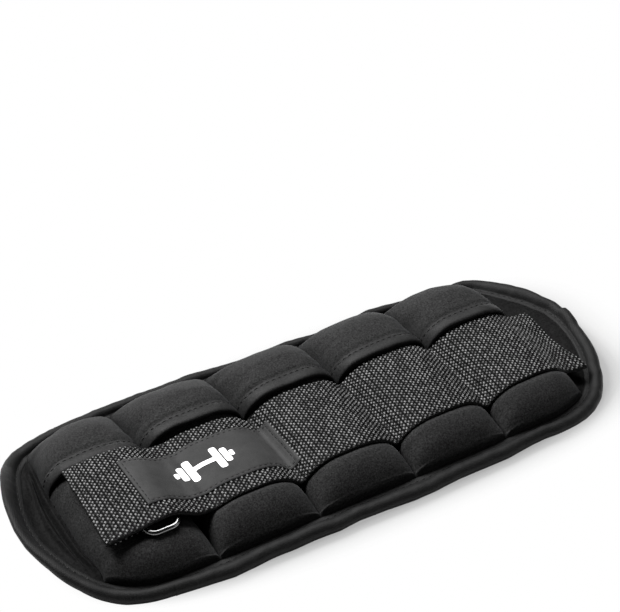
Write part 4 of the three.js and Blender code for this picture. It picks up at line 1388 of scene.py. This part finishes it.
world = bpy.data.worlds.new("studio")
scene.world = world
world.use_nodes = True
nt = world.node_tree
nt.nodes.clear()
out = nt.nodes.new("ShaderNodeOutputWorld")
lp = nt.nodes.new("ShaderNodeLightPath")
b1 = nt.nodes.new("ShaderNodeBackground")
b2 = nt.nodes.new("ShaderNodeBackground")
b1.inputs["Color"].default_value = (1, 1, 1, 1)
b1.inputs["Strength"].default_value = 0.04
b2.inputs["Color"].default_value = (1, 1, 1, 1)
b2.inputs["Strength"].default_value = 1.0
mx = nt.nodes.new("ShaderNodeMixShader")
nt.links.new(lp.outputs["Is Camera Ray"], mx.inputs["Fac"])
nt.links.new(b1.outputs[0], mx.inputs[1])
nt.links.new(b2.outputs[0], mx.inputs[2])
nt.links.new(mx.outputs[0], out.inputs["Surface"])

# floor: opaque to light, half clear to the eye, so that panels curled below it can still be seen. Where it is not clear
# the eye sees a dark floor tone, so the clear attribute paints a contact shadow round the cuff, which the real cast
# shadow darkens further.
fm = bpy.data.materials.new("floor_white")
fm.use_nodes = True
nt = fm.node_tree
nt.nodes.clear()
out = nt.nodes.new("ShaderNodeOutputMaterial")
dif = nt.nodes.new("ShaderNodeBsdfDiffuse")
dif.inputs["Color"].default_value = (0.86, 0.86, 0.86, 1)
tr = nt.nodes.new("ShaderNodeBsdfTransparent")
lp = nt.nodes.new("ShaderNodeLightPath")
ml = nt.nodes.new("ShaderNodeMath")
ml.operation = "MULTIPLY"
see = nt.nodes.new("ShaderNodeAttribute")
see.attribute_name = "clear"
geo = nt.nodes.new("ShaderNodeNewGeometry")
mxm = nt.nodes.new("ShaderNodeMath")
mxm.operation = "MAXIMUM"
nt.links.new(see.outputs["Fac"], mxm.inputs[0])
nt.links.new(geo.outputs["Backfacing"], mxm.inputs[1])
nt.links.new(lp.outputs["Is Camera Ray"], ml.inputs[0])
nt.links.new(mxm.outputs[0], ml.inputs[1])
# camera rays see the floor at 0.13, the tone of the painted shadow; light rays see it at 0.86
floor_shadow_tone = nt.nodes.new("ShaderNodeMapRange")
floor_shadow_tone.inputs["To Min"].default_value, floor_shadow_tone.inputs["To Max"].default_value = 0.86, 0.13
nt.links.new(lp.outputs["Is Camera Ray"], floor_shadow_tone.inputs["Value"])
nt.links.new(floor_shadow_tone.outputs[0], dif.inputs["Color"])
mx = nt.nodes.new("ShaderNodeMixShader")
nt.links.new(ml.outputs[0], mx.inputs["Fac"])
nt.links.new(dif.outputs[0], mx.inputs[1])
nt.links.new(tr.outputs[0], mx.inputs[2])
nt.links.new(mx.outputs[0], out.inputs["Surface"])
# left open where the cuff's middle lies; round that, the clear values paint the cuff's contact shadow, darkest at the
# cuff's edge and clearer further away
CLEAR_AND_PAINTED_SHADOW_RINGS = [(6, 118, 53, 4.0, 0.38), (11, 145, 64.3, 3.4, 0.41), (11.5, 147.5, 66, 3.4, 0.50), (12, 149, 67.5, 3.4, 0.56),
         (12.5, 150.5, 69, 3.4, 0.67), (13, 152, 70.5, 3.4, 0.75), (13.5, 153.5, 72, 3.4, 0.82), (14.5, 156.5, 74, 3.3, 0.89),
         (16.5, 160.5, 76.5, 3.2, 0.96), (19, 167, 80, 3.0, 1.0), (0, 900, 800, 2.2, 1.0), (0, 3000, 3000, 2.0, 1.0)]
fv, fc, ff = [], [], []
for cx, a, b, n, t in CLEAR_AND_PAINTED_SHADOW_RINGS:
    cy = -4.5 if 60 < b < 200 else 0.0          # the painted shadow reaches a little further on the near side
    for an in np.linspace(0, 2 * math.pi, 96, endpoint=False):
        c, si = math.cos(an), math.sin(an)
        fv.append(((cx + a * math.copysign(abs(c) ** (2 / n), c)) / 1000, (cy + (b + cy) * math.copysign(abs(si) ** (2 / n), si)) / 1000, -0.0004))
        fc.append(t)
for r in range(len(CLEAR_AND_PAINTED_SHADOW_RINGS) - 1):
    for q in range(96):
        ff.append((r * 96 + q, (r + 1) * 96 + q, (r + 1) * 96 + (q + 1) % 96, r * 96 + (q + 1) % 96))      # faces up
me = bpy.data.meshes.new("floor")
me.from_pydata(fv, [], ff)
at = me.attributes.new("clear", "FLOAT", "POINT")
at.data.foreach_set("value", fc)
me.materials.append(fm)
floor = bpy.data.objects.new("floor", me)
scene.collection.objects.link(floor)
